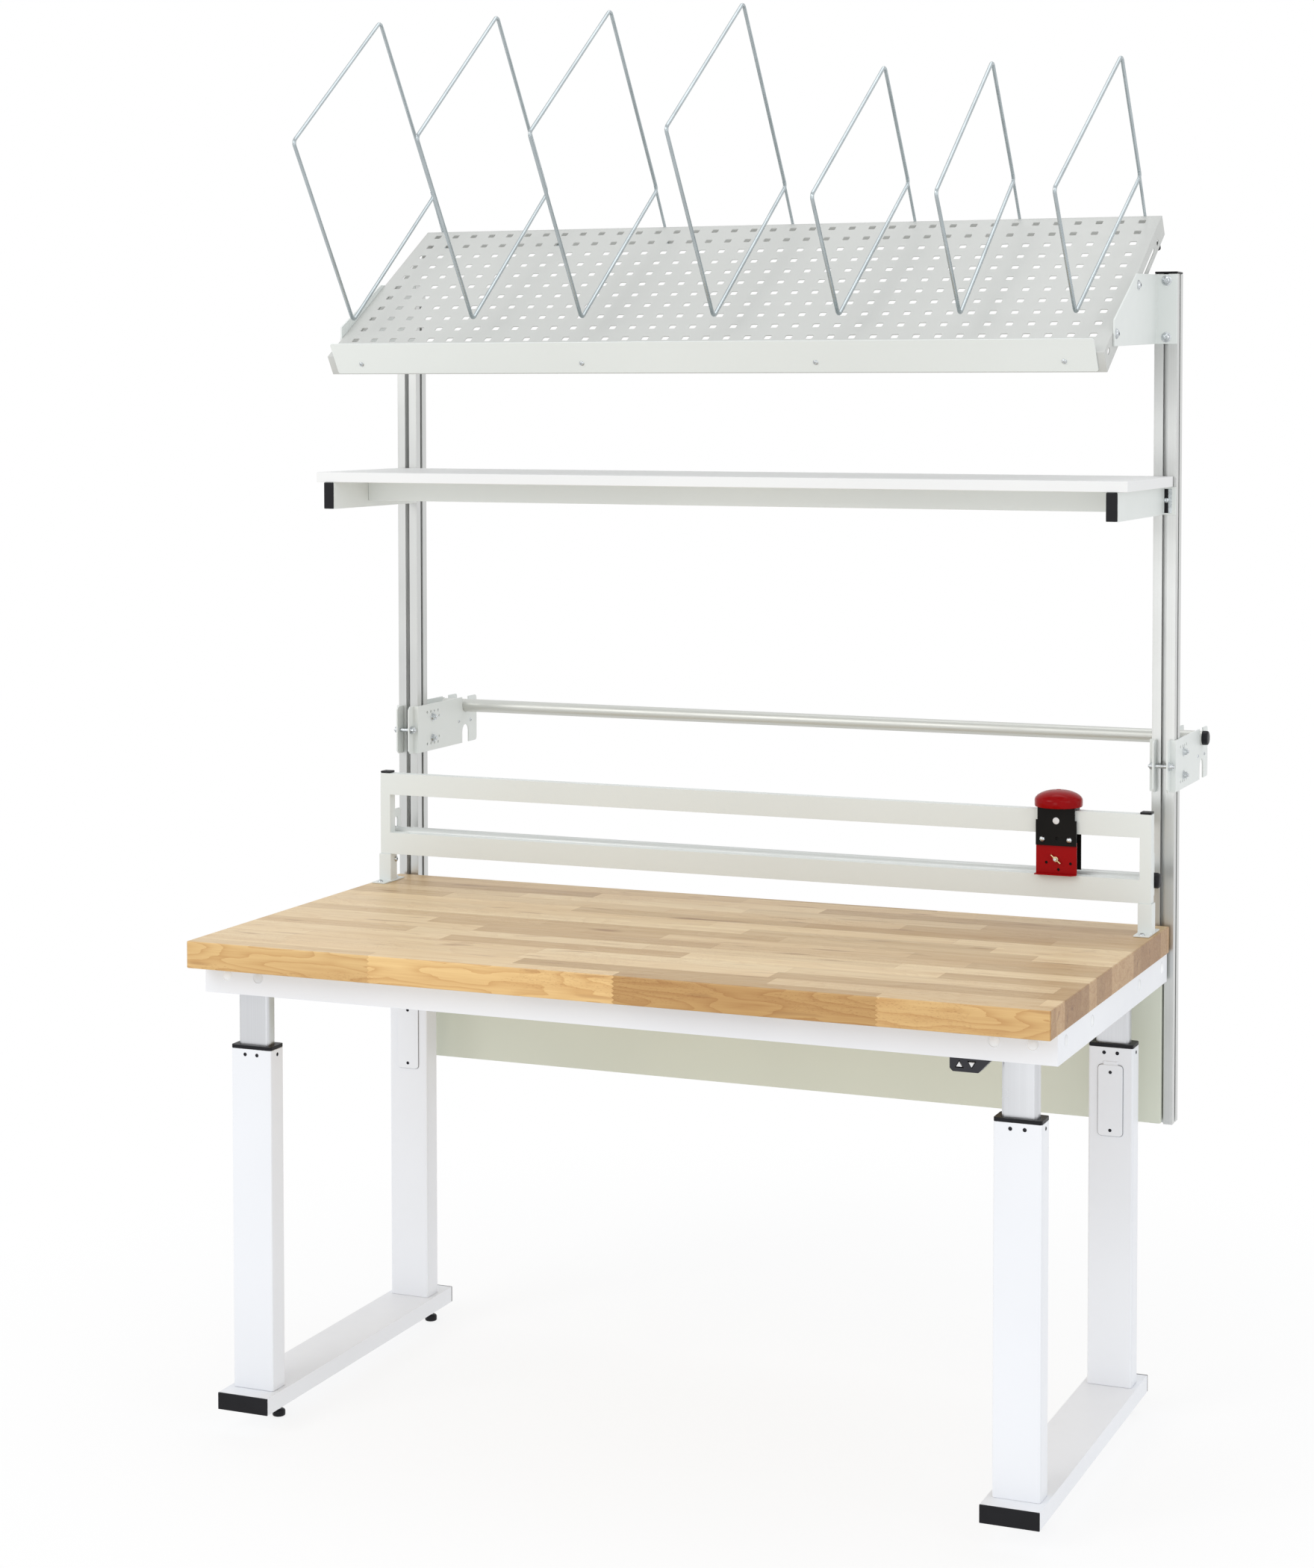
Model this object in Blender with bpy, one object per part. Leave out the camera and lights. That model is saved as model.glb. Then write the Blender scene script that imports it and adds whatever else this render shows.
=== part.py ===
"""Height-adjustable packing table.

A beech worktop on a steel frame with four telescopic legs, two aluminium
uprights behind it, a sloped perforated shelf with wire dividers, a laminate
shelf, a roll holder at the back and a cutting frame with a sliding cutter.

Metres, +Z up. The floor is at z = 0, x = 0 is the middle of the table, and the
front of the table looks along -Y. Places in depth are counted from the front
edge of the worktop, which lies at y = front.
"""

import bpy
import bmesh
from math import acos, cos, pi, radians, sin
from mathutils import Matrix, Vector

# Shared clearances
seat_gap = 0.0003
overrun = 0.01

# Worktop
worktop_width = 1.5
worktop_depth = 0.75
worktop_thickness = 0.046
worktop_edge = 0.002

# Top frame under the worktop
frame_height = 0.049
frame_side_inset = 0.003
frame_front_inset = 0.053
frame_rear_inset = 0.002
frame_rail = 0.03
frame_side_member = 0.102
frame_wall = 0.0025

# Legs: inner columns in bushes in outer tubes
leg_side_inset = 0.0715
front_leg_inset = 0.049
rear_leg_inset = 0.084
leg_length = 0.585
leg_wall = 0.002
leg_corner = 0.004
column_width = 0.058
column_depth = 0.026
column_wall = 0.003
column_corner = 0.006
column_clearance = 0.0004
column_foot_gap = 0.1
column_extension = 0.0931
bush_side = 0.0073
bush_front = 0.0053
bush_rim = 0.006
bush_length = 0.03

# Covers over the drive on the rear legs
hatch_width = 0.043
hatch_height = 0.122
hatch_thickness = 0.0025
hatch_corner = 0.006
hatch_drop = 0.03
hatch_tab_width = 0.025
hatch_tab_height = 0.006

# Base runners with end caps and levelling feet
runner_side = 0.009
runner_height = 0.029
runner_wall = 0.002
runner_front_overhang = 0.057
runner_bottom = 0.036
runner_cap = 0.003
runner_plug = 0.004
foot_pad_radius = 0.011
foot_pad_height = 0.011
foot_stem_radius = 0.004
foot_stem_inside = 0.014
foot_side_offset = 0.01
foot_behind_leg = 0.046
foot_end_margin = 0.015
foot_rim_share = 0.85
foot_neck_share = 0.6
foot_rim_height_share = 0.35

# Uprights: square profiles with a T-slot in every face
upright_size = 0.04
upright_side_inset = 0.015
upright_standoff = 0.01
upright_below_top = 0.348
upright_above_top = 1.124
slot_mouth = 0.008
slot_lip = 0.0025
slot_inner = 0.017
slot_depth = 0.011
upright_bore = 0.0034
upright_cap = 0.004

# Modesty panel: a shallow steel tray behind the rear legs
panel_side_inset = 0.0135
panel_height = 0.294
panel_drop = 0.0045
panel_sheet = 0.0015

# Perforated shelf: a sloped steel tray with square holes
shelf_slope = radians(32)
shelf_depth = 0.4555
hole_pitch = 0.038
hole_size = 0.0125
rear_row_behind_face = 0.0336
rear_row_above_upright = 0.0922
shelf_rear_margin = 0.02
shelf_side_margin = 0.02
shelf_front_margin = 0.03
shelf_sheet = 0.0015
shelf_flange = 0.038

# Lip in front of the perforated shelf
lip_end_inset = 0.0135
lip_above = 0.027
lip_below = 0.035
lip_thickness = 0.002

# Brackets that hold the perforated shelf on the uprights
bracket_thickness = 0.003
bracket_height = 0.119
bracket_drop = 0.001
bracket_above_sheet = 0.007
bracket_reach_rear = 0.193
bracket_reach_front = 0.362
bracket_nose = 0.043
bracket_nose_above_sheet = 0.017

# Wire dividers
wire_radius = 0.003
divider_length = 0.405
tall_divider_height = 0.368
short_divider_height = 0.234
divider_lift = 0.074
divider_tilt = radians(4.9)
divider_lean = radians(2.2)
divider_corner = 0.009
tall_divider_shares = (0, 0.174, 0.337, 0.522)
short_divider_shares = (0.693, 0.835, 1)
tall_divider_turns = (0.006, 0.008, -0.003, -0.008)
short_divider_turns = (-0.015, 0.004, -0.025)

# Laminate shelf on two arms with a crossbar
board_thickness = 0.018
board_depth = 0.314
board_above_top = 0.777
board_rear_gap = 0.003
board_edge = 0.001
arm_width = 0.02
arm_height = 0.048
arm_inset = 0.011
arm_wall = 0.002
arm_plate_thickness = 0.004
arm_plate_height = 0.062
crossbar_height = 0.03
crossbar_depth = 0.02
crossbar_ahead = 0.19
crossbar_drop = 0.007

# Roll holder: four clamped plates and a tube
plate_thickness = 0.0025
plate_height = 0.09
plate_above_top = 0.322
plate_reach = 0.243
plate_corner = 0.006
ear_spacing = 0.022
ear_length = 0.02
ear_chamfer = 0.006
clamp_bolt_radius = 0.003
clamp_head_radius = 0.005
clamp_head_length = 0.004
clamp_bolt_ahead = 0.013
tube_radius = 0.0125
tube_drop = 0.017
tube_behind = 0.195
tube_overhang = 0.01
tube_edge = 0.002
tube_wall = 0.002
lower_slot_width = 0.028
lower_slot_height = 0.036
index_bolt_radius = 0.0055
index_bolt_length = 0.005
index_bolt_behind = 0.017
index_bolt_upper_drop = 0.026
index_bolt_lower_drop = 0.067

# Cutting frame: welded posts and rails on the worktop
post_inset = 0.02
post_width = 0.02
post_depth = 0.02
post_from_rear = 0.092
rail_height = 0.04
rail_spacing = 0.112
post_foot_height = 0.053
foot_plate_length = 0.078
foot_plate_width = 0.027
foot_plate_thickness = 0.0025
foot_sleeve_wall = 0.002
post_wall = 0.002

# Hold-down rod behind the lower rail
rod_radius = 0.0125
rod_height = 0.087
rod_behind_cutter = 0.0015
rod_journal_radius = 0.006
rod_journal_clearance = 0.0003
rod_knob_radius = 0.013
rod_knob_length = 0.011
rod_plate_thickness = 0.003
rod_plate_depth = 0.04
rod_plate_top = 0.133
rod_plate_above_foot = 0.004
rod_plate_corner = 0.005
rod_lift = 0.025

# Cutter that slides on the upper rail
cutter_from_post = 0.155
cutter_width = 0.072
cutter_plate = 0.003
cutter_gap = 0.004
cutter_web = 0.004
cutter_front_drop = 0.061
cutter_rear_drop = 0.105
cutter_shoulder = 0.003
cutter_shoulder_drop = 0.017
cutter_pad_height = 0.02
cutter_pad_inset = 0.008
cutter_sight_radius = 0.006
cutter_sight_drop = 0.018
blade_radius = 0.02
blade_thickness = 0.0012
blade_drop = 0.081
blade_axle_radius = 0.005
dome_radius = 0.0415
dome_height = 0.03
dome_rim = 0.011
dome_rise = 0.0025
guard_top_drop = 0.055
guard_bottom_drop = 0.11
guard_thickness = 0.002
guard_lip = 0.012
guard_chamfer = 0.008
stud_radius = 0.0025
stud_drop = 0.084
stud_length = 0.011
wing_hub_radius = 0.0045
wing_hub_length = 0.005
wing_span = 0.022
wing_width = 0.0045
wing_thickness = 0.0018
wing_turn = radians(41)

# Hand switch under the front rail
switch_inset = 0.142
switch_width = 0.066
switch_height = 0.021
switch_depth = 0.025
switch_setback = 0.001
switch_chamfer = 0.02
switch_near_chamfer = 0.005
button_width = 0.011
button_height = 0.009
button_depth = 0.006
button_stand = 0.0018
button_travel = 0.001
button_drop = 0.009
button_up_share = 0.24
button_down_share = 0.54

# Lines that several pieces share
frame_half_width = worktop_width / 2 - frame_side_inset
leg_width = column_width + 2 * (column_clearance + bush_side + seat_gap + leg_wall)
leg_depth = column_depth + 2 * (column_clearance + bush_front + seat_gap + leg_wall)
leg_x = frame_half_width - leg_side_inset
front_leg_centre = frame_front_inset + front_leg_inset
rear_leg_centre = worktop_depth - frame_rear_inset - rear_leg_inset
runner_top = runner_bottom + runner_height
runner_width = leg_width + 2 * runner_side
leg_bottom = runner_top + seat_gap
leg_top = leg_bottom + leg_length
frame_bottom = leg_top + seat_gap + bush_rim + column_extension
frame_top = frame_bottom + frame_height
worktop_bottom = frame_top + seat_gap
worktop_height = worktop_bottom + worktop_thickness
upright_front = worktop_depth + upright_standoff
plate_front = upright_front - seat_gap
upright_x = worktop_width / 2 - upright_side_inset
upright_inner = upright_x - upright_size / 2
upright_bottom = worktop_height - upright_below_top
upright_top = worktop_height + upright_above_top
bracket_top = upright_top - bracket_drop
bracket_bottom = bracket_top - bracket_height
rear_row_height = upright_top + rear_row_above_upright
hole_columns = int((2 * (upright_inner - shelf_side_margin) - hole_size) / hole_pitch) + 1
hole_rows = int((shelf_depth - shelf_rear_margin - shelf_front_margin) / hole_pitch) + 1
hole_left = -hole_pitch * (hole_columns - 1) / 2
shelf_front = shelf_depth - shelf_rear_margin
board_top = worktop_height + board_above_top
plate_top = worktop_height + plate_above_top
plate_bottom = plate_top - plate_height
tube_height = plate_top - tube_drop
tube_from_front = upright_front + tube_behind
overall_depth = upright_front + plate_reach
post_x = worktop_width / 2 - post_inset
post_front = worktop_depth - post_from_rear
post_rear = post_front + post_depth
lower_rail_bottom = worktop_height + post_foot_height
upper_rail_bottom = lower_rail_bottom + rail_spacing
upper_rail_top = upper_rail_bottom + rail_height
cutter_x = post_x - cutter_from_post
cutter_near = post_front - cutter_gap
cutter_far = post_rear + cutter_gap
rod_from_front = cutter_far + cutter_plate + rod_behind_cutter + rod_radius
front = -overall_depth / 2


def deep(distance):
    """y of a place that lies this far behind the worktop's front edge."""
    return front + distance


def on_shelf(along, above):
    """y and z of a point on the sloped shelf's own axes.

    along runs down the slope from the rear row of holes, above stands square
    on the sheet's top face.
    """
    y = deep(upright_front + rear_row_behind_face) - along * cos(shelf_slope) - above * sin(shelf_slope)
    z = rear_row_height - along * sin(shelf_slope) + above * cos(shelf_slope)
    return y, z


# Materials


def material(name, colour, roughness, metallic=0.0):
    """A plain finish from a colour, a roughness and a metallic value."""
    finish = bpy.data.materials.new(name)
    finish.use_nodes = True
    shader = finish.node_tree.nodes["Principled BSDF"]
    shader.inputs["Base Color"].default_value = (*colour, 1.0)
    shader.inputs["Roughness"].default_value = roughness
    shader.inputs["Metallic"].default_value = metallic
    finish.diffuse_color = (*colour, 1.0)
    return finish


# Modelling helpers


def finish_object(name, mesh_builder, look):
    """Turn a bmesh into a named object with faces pointing out."""
    bmesh.ops.recalc_face_normals(mesh_builder, faces=mesh_builder.faces)
    mesh = bpy.data.meshes.new(name)
    mesh_builder.to_mesh(mesh)
    mesh_builder.free()
    mesh.materials.append(look)
    piece = bpy.data.objects.new(name, mesh)
    bpy.context.scene.collection.objects.link(piece)
    return piece


def block(name, low, high, look, edge=0.0):
    """A box between two corners, with its edges broken if asked."""
    builder = bmesh.new()
    bmesh.ops.create_cube(builder, size=1.0)
    size = Vector(high) - Vector(low)
    middle = (Vector(high) + Vector(low)) / 2
    bmesh.ops.scale(builder, vec=size, verts=builder.verts)
    bmesh.ops.translate(builder, vec=middle, verts=builder.verts)
    if edge:
        bmesh.ops.bevel(builder, geom=builder.edges[:], offset=edge, segments=1, affect="EDGES")
    return finish_object(name, builder, look)


def prism(name, outline, axis, start, end, look):
    """Extrude an outline along a world axis.

    The outline's points are (y, z) for axis X, (x, z) for axis Y and (x, y)
    for axis Z.
    """
    builder = bmesh.new()
    place = {
        "X": lambda a, b: (start, a, b),
        "Y": lambda a, b: (a, start, b),
        "Z": lambda a, b: (a, b, start),
    }[axis]
    travel = Vector([end - start if letter == axis else 0 for letter in "XYZ"])
    face = builder.faces.new([builder.verts.new(place(a, b)) for a, b in outline])
    swept = bmesh.ops.extrude_face_region(builder, geom=[face])
    moved = [item for item in swept["geom"] if isinstance(item, bmesh.types.BMVert)]
    bmesh.ops.translate(builder, vec=travel, verts=moved)
    return finish_object(name, builder, look)


def turned(name, profile, centre, axis, look, sides):
    """Spin a profile of (radius, height) points round an axis through centre."""
    builder = bmesh.new()
    points = [builder.verts.new((radius, 0, height)) for radius, height in profile]
    edges = [builder.edges.new(pair) for pair in zip(points, points[1:])]
    bmesh.ops.spin(
        builder,
        geom=points + edges,
        cent=(0, 0, 0),
        axis=(0, 0, 1),
        angle=2 * pi,
        steps=sides,
        use_duplicate=False,
    )
    bmesh.ops.remove_doubles(builder, verts=builder.verts, dist=seat_gap / 10)
    turn = Vector((0, 0, 1)).rotation_difference(Vector(axis)).to_matrix().to_4x4()
    bmesh.ops.transform(builder, matrix=Matrix.Translation(centre) @ turn, verts=builder.verts)
    return finish_object(name, builder, look)


def cylinder(name, centre, axis, radius, length, look, sides=12):
    """A round bar centred on a point."""
    half = length / 2
    profile = [(0, -half), (radius, -half), (radius, half), (0, half)]
    return turned(name, profile, centre, axis, look, sides)


def combine(target, tools, operation):
    """Join or cut with the EXACT solver, then drop the tools."""
    for tool in tools:
        change = target.modifiers.new(operation.lower(), "BOOLEAN")
        change.operation = operation
        change.solver = "EXACT"
        change.object = tool
        evaluated = target.evaluated_get(bpy.context.evaluated_depsgraph_get())
        result = bpy.data.meshes.new_from_object(evaluated)
        target.modifiers.clear()
        old = target.data
        target.data = result
        bpy.data.meshes.remove(old)
        spare = tool.data
        bpy.data.objects.remove(tool)
        bpy.data.meshes.remove(spare)
    return target


def join(target, *tools):
    """Union of solids that overlap."""
    return combine(target, tools, "UNION")


def cut(target, *tools):
    """Take the tools' space out of the target."""
    return combine(target, tools, "DIFFERENCE")


def common(target, tool):
    """Keep only the space that two solids share."""
    return combine(target, (tool,), "INTERSECT")


def mirrored(piece, name):
    """A copy of a piece on the other side of x = 0."""
    mesh = piece.data.copy()
    mesh.transform(Matrix.Scale(-1, 4, (1, 0, 0)))
    mesh.flip_normals()
    twin = bpy.data.objects.new(name, mesh)
    bpy.context.scene.collection.objects.link(twin)
    return twin


def rounded_rectangle(width, depth, corner, steps):
    """Outline of a rectangle with round corners, about the origin."""
    points = []
    corners = ((1, 1, 0), (-1, 1, 90), (-1, -1, 180), (1, -1, 270))
    for right, back, start in corners:
        x = right * (width / 2 - corner)
        y = back * (depth / 2 - corner)
        for step in range(steps + 1):
            angle = radians(start + 90 * step / steps)
            points.append((x + corner * cos(angle), y + corner * sin(angle)))
    return points


def moved_outline(outline, x, y):
    """The outline shifted in its own plane."""
    return [(a + x, b + y) for a, b in outline]


def placed_rectangle(x, y, width, depth, corner):
    """A round-cornered rectangle about a point, with two steps per corner."""
    return moved_outline(rounded_rectangle(width, depth, corner, 2), x, y)


def arc(centre, radius, start, end, steps):
    """Points of an arc between two angles in degrees, both ends included."""
    points = []
    for step in range(steps + 1):
        angle = radians(start + (end - start) * step / steps)
        points.append((centre[0] + radius * cos(angle), centre[1] + radius * sin(angle)))
    return points


def clear_radius(radius, clearance, steps):
    """Radius of a half circle in steps whose flats stay clear of a round bar."""
    return (radius + clearance) / cos(pi / 2 / steps)


def close_rings(builder, rings):
    """Faces from each ring of points to the next, and from the last to the first."""
    for ring, following in zip(rings, rings[1:] + rings[:1]):
        for index in range(len(ring)):
            after = (index + 1) % len(ring)
            builder.faces.new((ring[index], ring[after], following[after], following[index]))


def hollow_tube(name, outer, inner, bottom, top, look):
    """An upright tube between two outlines with the same number of points."""
    builder = bmesh.new()
    rings = []
    for outline, height in ((outer, bottom), (outer, top), (inner, top), (inner, bottom)):
        rings.append([builder.verts.new((x, y, height)) for x, y in outline])
    close_rings(builder, rings)
    return finish_object(name, builder, look)


def put_origin(piece, point):
    """Move a piece's origin onto its joint's axis without moving the piece."""
    piece.data.transform(Matrix.Translation(-Vector(point)))
    piece.location = point
    return piece


def round_off(piece, angle=40):
    """Shade the curved faces smooth and keep the sharp edges."""
    piece.data.shade_smooth()
    piece.data.set_sharp_from_angle(angle=radians(angle))
    return piece


def clear_scene():
    """Start from an empty scene."""
    for thing in list(bpy.data.objects):
        bpy.data.objects.remove(thing, do_unlink=True)


# Base


def build_runner(side, sign, white, black):
    """A flat tube under two legs, with a plastic cap in each end."""
    centre = sign * leg_x
    start = deep(front_leg_centre - runner_front_overhang)
    end = deep(rear_leg_centre + foot_behind_leg + foot_end_margin)
    left = centre - runner_width / 2
    right = centre + runner_width / 2
    runner = block(
        "runner_" + side,
        (left, start + runner_cap, runner_bottom),
        (right, end - runner_cap, runner_top),
        white,
    )
    bore = block(
        "bore",
        (left + runner_wall, start - overrun, runner_bottom + runner_wall),
        (right - runner_wall, end + overrun, runner_top - runner_wall),
        white,
    )
    cut(runner, bore)
    for leg in (front_leg_centre, rear_leg_centre):
        hole = cylinder(
            "hole",
            (centre + foot_side_offset, deep(leg + foot_behind_leg), runner_bottom),
            (0, 0, 1),
            foot_stem_radius + seat_gap,
            runner_wall * 4,
            white,
        )
        cut(runner, hole)
    fit = runner_wall + seat_gap
    for place, outside, inward in (("front", start, 1), ("rear", end, -1)):
        seat = outside + inward * (runner_cap - seat_gap)
        low_y, high_y = sorted((outside, seat))
        cap = block(
            f"runner_cap_{place}_{side}",
            (left, low_y, runner_bottom),
            (right, high_y, runner_top),
            black,
        )
        low_y, high_y = sorted((seat - inward * runner_cap / 2, seat + inward * runner_plug))
        plug = block(
            "plug",
            (left + fit, low_y, runner_bottom + fit),
            (right - fit, high_y, runner_top - fit),
            black,
        )
        join(cap, plug)


def build_feet(black):
    """Four screw feet, each just behind its leg."""
    profile = [
        (0, 0),
        (foot_pad_radius * foot_rim_share, 0),
        (foot_pad_radius, foot_pad_height * foot_rim_height_share),
        (foot_pad_radius * foot_neck_share, foot_pad_height),
        (foot_stem_radius, foot_pad_height),
        (foot_stem_radius, runner_bottom + foot_stem_inside),
        (0, runner_bottom + foot_stem_inside),
    ]
    for side, sign in (("left", -1), ("right", 1)):
        for place, leg in (("front", front_leg_centre), ("rear", rear_leg_centre)):
            spot = (sign * leg_x + foot_side_offset, deep(leg + foot_behind_leg), 0)
            foot = turned(f"foot_{place}_{side}", profile, spot, (0, 0, 1), black, 12)
            put_origin(round_off(foot), spot)


def build_legs(white, black, aluminium):
    """Outer tubes, guide bushes and the inner columns that rise with the top."""
    for side, sign in (("left", -1), ("right", 1)):
        for place, leg in (("front", front_leg_centre), ("rear", rear_leg_centre)):
            x = sign * leg_x
            y = deep(leg)
            name = f"{place}_{side}"
            outer = placed_rectangle(x, y, leg_width, leg_depth, leg_corner)
            bore = placed_rectangle(
                x, y, leg_width - 2 * leg_wall, leg_depth - 2 * leg_wall, leg_corner - leg_wall
            )
            tube = hollow_tube("leg_" + name, outer, bore, leg_bottom, leg_top, white)
            if place == "rear":
                add_hatch(tube, x, y - leg_depth / 2, white)
            round_off(tube)
            build_bush(name, x, y, outer, black)
            build_column(name, x, y, aluminium)


def add_hatch(tube, x, face, white):
    """A screwed cover on a rear leg's front face, with its small tab on top."""
    top = leg_top - hatch_drop
    sunk = leg_wall / 2
    outline = rounded_rectangle(hatch_width, hatch_height, hatch_corner, 3)
    outline = moved_outline(outline, x, top - hatch_height / 2)
    cover = prism("cover", outline, "Y", face - hatch_thickness, face + sunk, white)
    tab = block(
        "tab",
        (x - hatch_tab_width / 2, face - hatch_thickness / 2, top - hatch_tab_height),
        (x + hatch_tab_width / 2, face + sunk, top + hatch_tab_height),
        white,
    )
    join(tube, join(cover, tab))


def build_bush(name, x, y, outer, black):
    """A plastic guide: a rim on the tube's end and a sleeve inside it."""
    window = placed_rectangle(
        x,
        y,
        column_width + 2 * column_clearance,
        column_depth + 2 * column_clearance,
        column_corner + column_clearance,
    )
    bottom = leg_top + seat_gap
    bush = hollow_tube("bush_" + name, outer, window, bottom, bottom + bush_rim, black)
    fit = leg_wall + seat_gap
    sleeve = placed_rectangle(
        x, y, leg_width - 2 * fit, leg_depth - 2 * fit, leg_corner - leg_wall
    )
    plug = hollow_tube(
        "plug", sleeve, window, bottom - bush_length, bottom + bush_rim / 2, black
    )
    round_off(join(bush, plug))


def build_column(name, x, y, aluminium):
    """An extruded inner column from inside the leg up to the top frame."""
    outer = placed_rectangle(x, y, column_width, column_depth, column_corner)
    inner = placed_rectangle(
        x,
        y,
        column_width - 2 * column_wall,
        column_depth - 2 * column_wall,
        column_corner - column_wall,
    )
    bottom = runner_top + column_foot_gap
    top = frame_bottom - seat_gap
    round_off(hollow_tube("column_" + name, outer, inner, bottom, top, aluminium))


# Top


def build_top(white, beech):
    """The steel frame, hollowed from above, and the worktop that lies on it."""
    near = deep(frame_front_inset)
    far = deep(worktop_depth - frame_rear_inset)
    frame = block(
        "top_frame",
        (-frame_half_width, near, frame_bottom),
        (frame_half_width, far, frame_top),
        white,
    )
    window = frame_half_width - frame_side_member
    opening = block(
        "opening",
        (-window, near + frame_rail, frame_bottom - overrun),
        (window, far - frame_rail, frame_top + overrun),
        white,
    )
    cut(frame, opening)
    members = (
        (-frame_half_width, near, -window, far),
        (window, near, frame_half_width, far),
        (-window, near, window, near + frame_rail),
        (-window, far - frame_rail, window, far),
    )
    for low_x, low_y, high_x, high_y in members:
        hollow = block(
            "hollow",
            (low_x + frame_wall, low_y + frame_wall, frame_bottom + frame_wall),
            (high_x - frame_wall, high_y - frame_wall, frame_top + overrun),
            white,
        )
        cut(frame, hollow)
    half = worktop_width / 2
    block(
        "worktop",
        (-half, deep(0), worktop_bottom),
        (half, deep(worktop_depth), worktop_height),
        beech,
        worktop_edge,
    )


def slot_outline():
    """A square profile with a T-slot in every face, one quarter at a time."""
    half = upright_size / 2
    mouth = slot_mouth / 2
    wide = slot_inner / 2
    lip = half - slot_lip
    floor = half - slot_depth
    shoulder = (lip + floor) / 2
    side = [
        (half, -half),
        (half, -mouth),
        (lip, -mouth),
        (lip, -wide),
        (shoulder, -wide),
        (floor, -mouth),
        (floor, mouth),
        (shoulder, wide),
        (lip, wide),
        (lip, mouth),
        (half, mouth),
    ]
    points = []
    for quarter in range(4):
        turn = pi / 2 * quarter
        for x, y in side:
            points.append((x * cos(turn) - y * sin(turn), x * sin(turn) + y * cos(turn)))
    return points


def build_uprights(aluminium, black):
    """Slotted profiles behind the worktop, with a cap on each."""
    half = upright_size / 2
    y = deep(upright_front) + half
    for side, sign in (("left", -1), ("right", 1)):
        x = sign * upright_x
        outline = moved_outline(slot_outline(), x, y)
        upright = prism("upright_" + side, outline, "Z", upright_bottom, upright_top, aluminium)
        bore = cylinder(
            "bore",
            (x, y, (upright_bottom + upright_top) / 2),
            (0, 0, 1),
            upright_bore,
            upright_top - upright_bottom + overrun,
            aluminium,
            8,
        )
        cut(upright, bore)
        block(
            "upright_cap_" + side,
            (x - half, y - half, upright_top + seat_gap),
            (x + half, y + half, upright_top + upright_cap),
            black,
            upright_cap / 4,
        )


def build_panel(grey):
    """A tray of folded sheet between the top frame and the uprights."""
    near = deep(worktop_depth - frame_rear_inset + seat_gap)
    rear = deep(plate_front)
    half = worktop_width / 2 - panel_side_inset
    top = frame_top - panel_drop
    bottom = top - panel_height
    panel = block("modesty_panel", (-half, near, bottom), (half, rear, top), grey)
    hollow = block(
        "hollow",
        (-half + panel_sheet, near + panel_sheet, bottom + panel_sheet),
        (half - panel_sheet, rear + overrun, top - panel_sheet),
        grey,
    )
    cut(panel, hollow)


# Perforated shelf


def grid_lines(count, low_edge, high_edge, first):
    """Grid lines through both sides of every hole, with the sheet's edges."""
    lines = [low_edge]
    for index in range(count):
        centre = first + index * hole_pitch
        lines += [centre - hole_size / 2, centre + hole_size / 2]
    return lines + [high_edge]


def build_perforated_shelf(grey):
    """A sheet with a grid of square holes and a flange folded down all round."""
    across = grid_lines(hole_columns, -upright_inner, upright_inner, hole_left)
    down = grid_lines(hole_rows, -shelf_rear_margin, shelf_front, 0)
    builder = bmesh.new()
    top, under = [
        [[builder.verts.new((x, *on_shelf(along, above))) for along in down] for x in across]
        for above in (0, -shelf_sheet)
    ]
    last_i = len(across) - 1
    last_j = len(down) - 1

    def wall(path):
        """Faces between the two skins along a closed path of grid points."""
        for (a, b), (c, d) in zip(path, path[1:] + path[:1]):
            builder.faces.new((top[a][b], top[c][d], under[c][d], under[a][b]))

    for i in range(last_i):
        for j in range(last_j):
            corners = ((i, j), (i + 1, j), (i + 1, j + 1), (i, j + 1))
            if i % 2 == 1 and j % 2 == 1:
                wall(corners)
            else:
                for skin in (top, under):
                    builder.faces.new([skin[a][b] for a, b in corners])
    rim = [(i, 0) for i in range(last_i)] + [(last_i, j) for j in range(last_j)]
    rim += [(i, last_j) for i in range(last_i, 0, -1)] + [(0, j) for j in range(last_j, 0, -1)]
    wall(rim)
    shelf = finish_object("perforated_shelf", builder, grey)
    join(shelf, flange_ring(grey))


def flange_ring(grey):
    """The folded edge under the perforated sheet, as one closed band."""
    builder = bmesh.new()
    rings = []
    sides = (
        (0, -shelf_sheet / 2),
        (0, -shelf_flange),
        (shelf_sheet, -shelf_flange),
        (shelf_sheet, -shelf_sheet / 2),
    )
    for inset, above in sides:
        side = upright_inner - inset
        rear = inset - shelf_rear_margin
        near = shelf_front - inset
        corners = ((-side, rear), (side, rear), (side, near), (-side, near))
        rings.append([builder.verts.new((x, *on_shelf(along, above))) for x, along in corners])
    close_rings(builder, rings)
    return finish_object("flange", builder, grey)


def shelf_prism(name, outline, low, high, look):
    """Extrude an outline given on the shelf's own axes across the table."""
    return prism(name, [on_shelf(*point) for point in outline], "X", low, high, look)


def build_lip(grey):
    """The strip screwed to the shelf's front flange, standing above the sheet."""
    near = shelf_front + seat_gap
    half = upright_inner - lip_end_inset
    outline = [
        (near, -lip_below),
        (near + lip_thickness, -lip_below),
        (near + lip_thickness, lip_above),
        (near, lip_above),
    ]
    shelf_prism("shelf_lip", outline, -half, half, grey)


def bent_plate(name, plan, outline, look):
    """A folded plate: its plan swept upwards, trimmed to an outline seen from the side."""
    heights = [z for _, z in outline]
    widths = [x for x, _ in plan]
    plate = prism(name, plan, "Z", min(heights) - overrun, max(heights) + overrun, look)
    return common(
        plate, prism("trim", outline, "X", min(widths) - overrun, max(widths) + overrun, look)
    )


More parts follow.
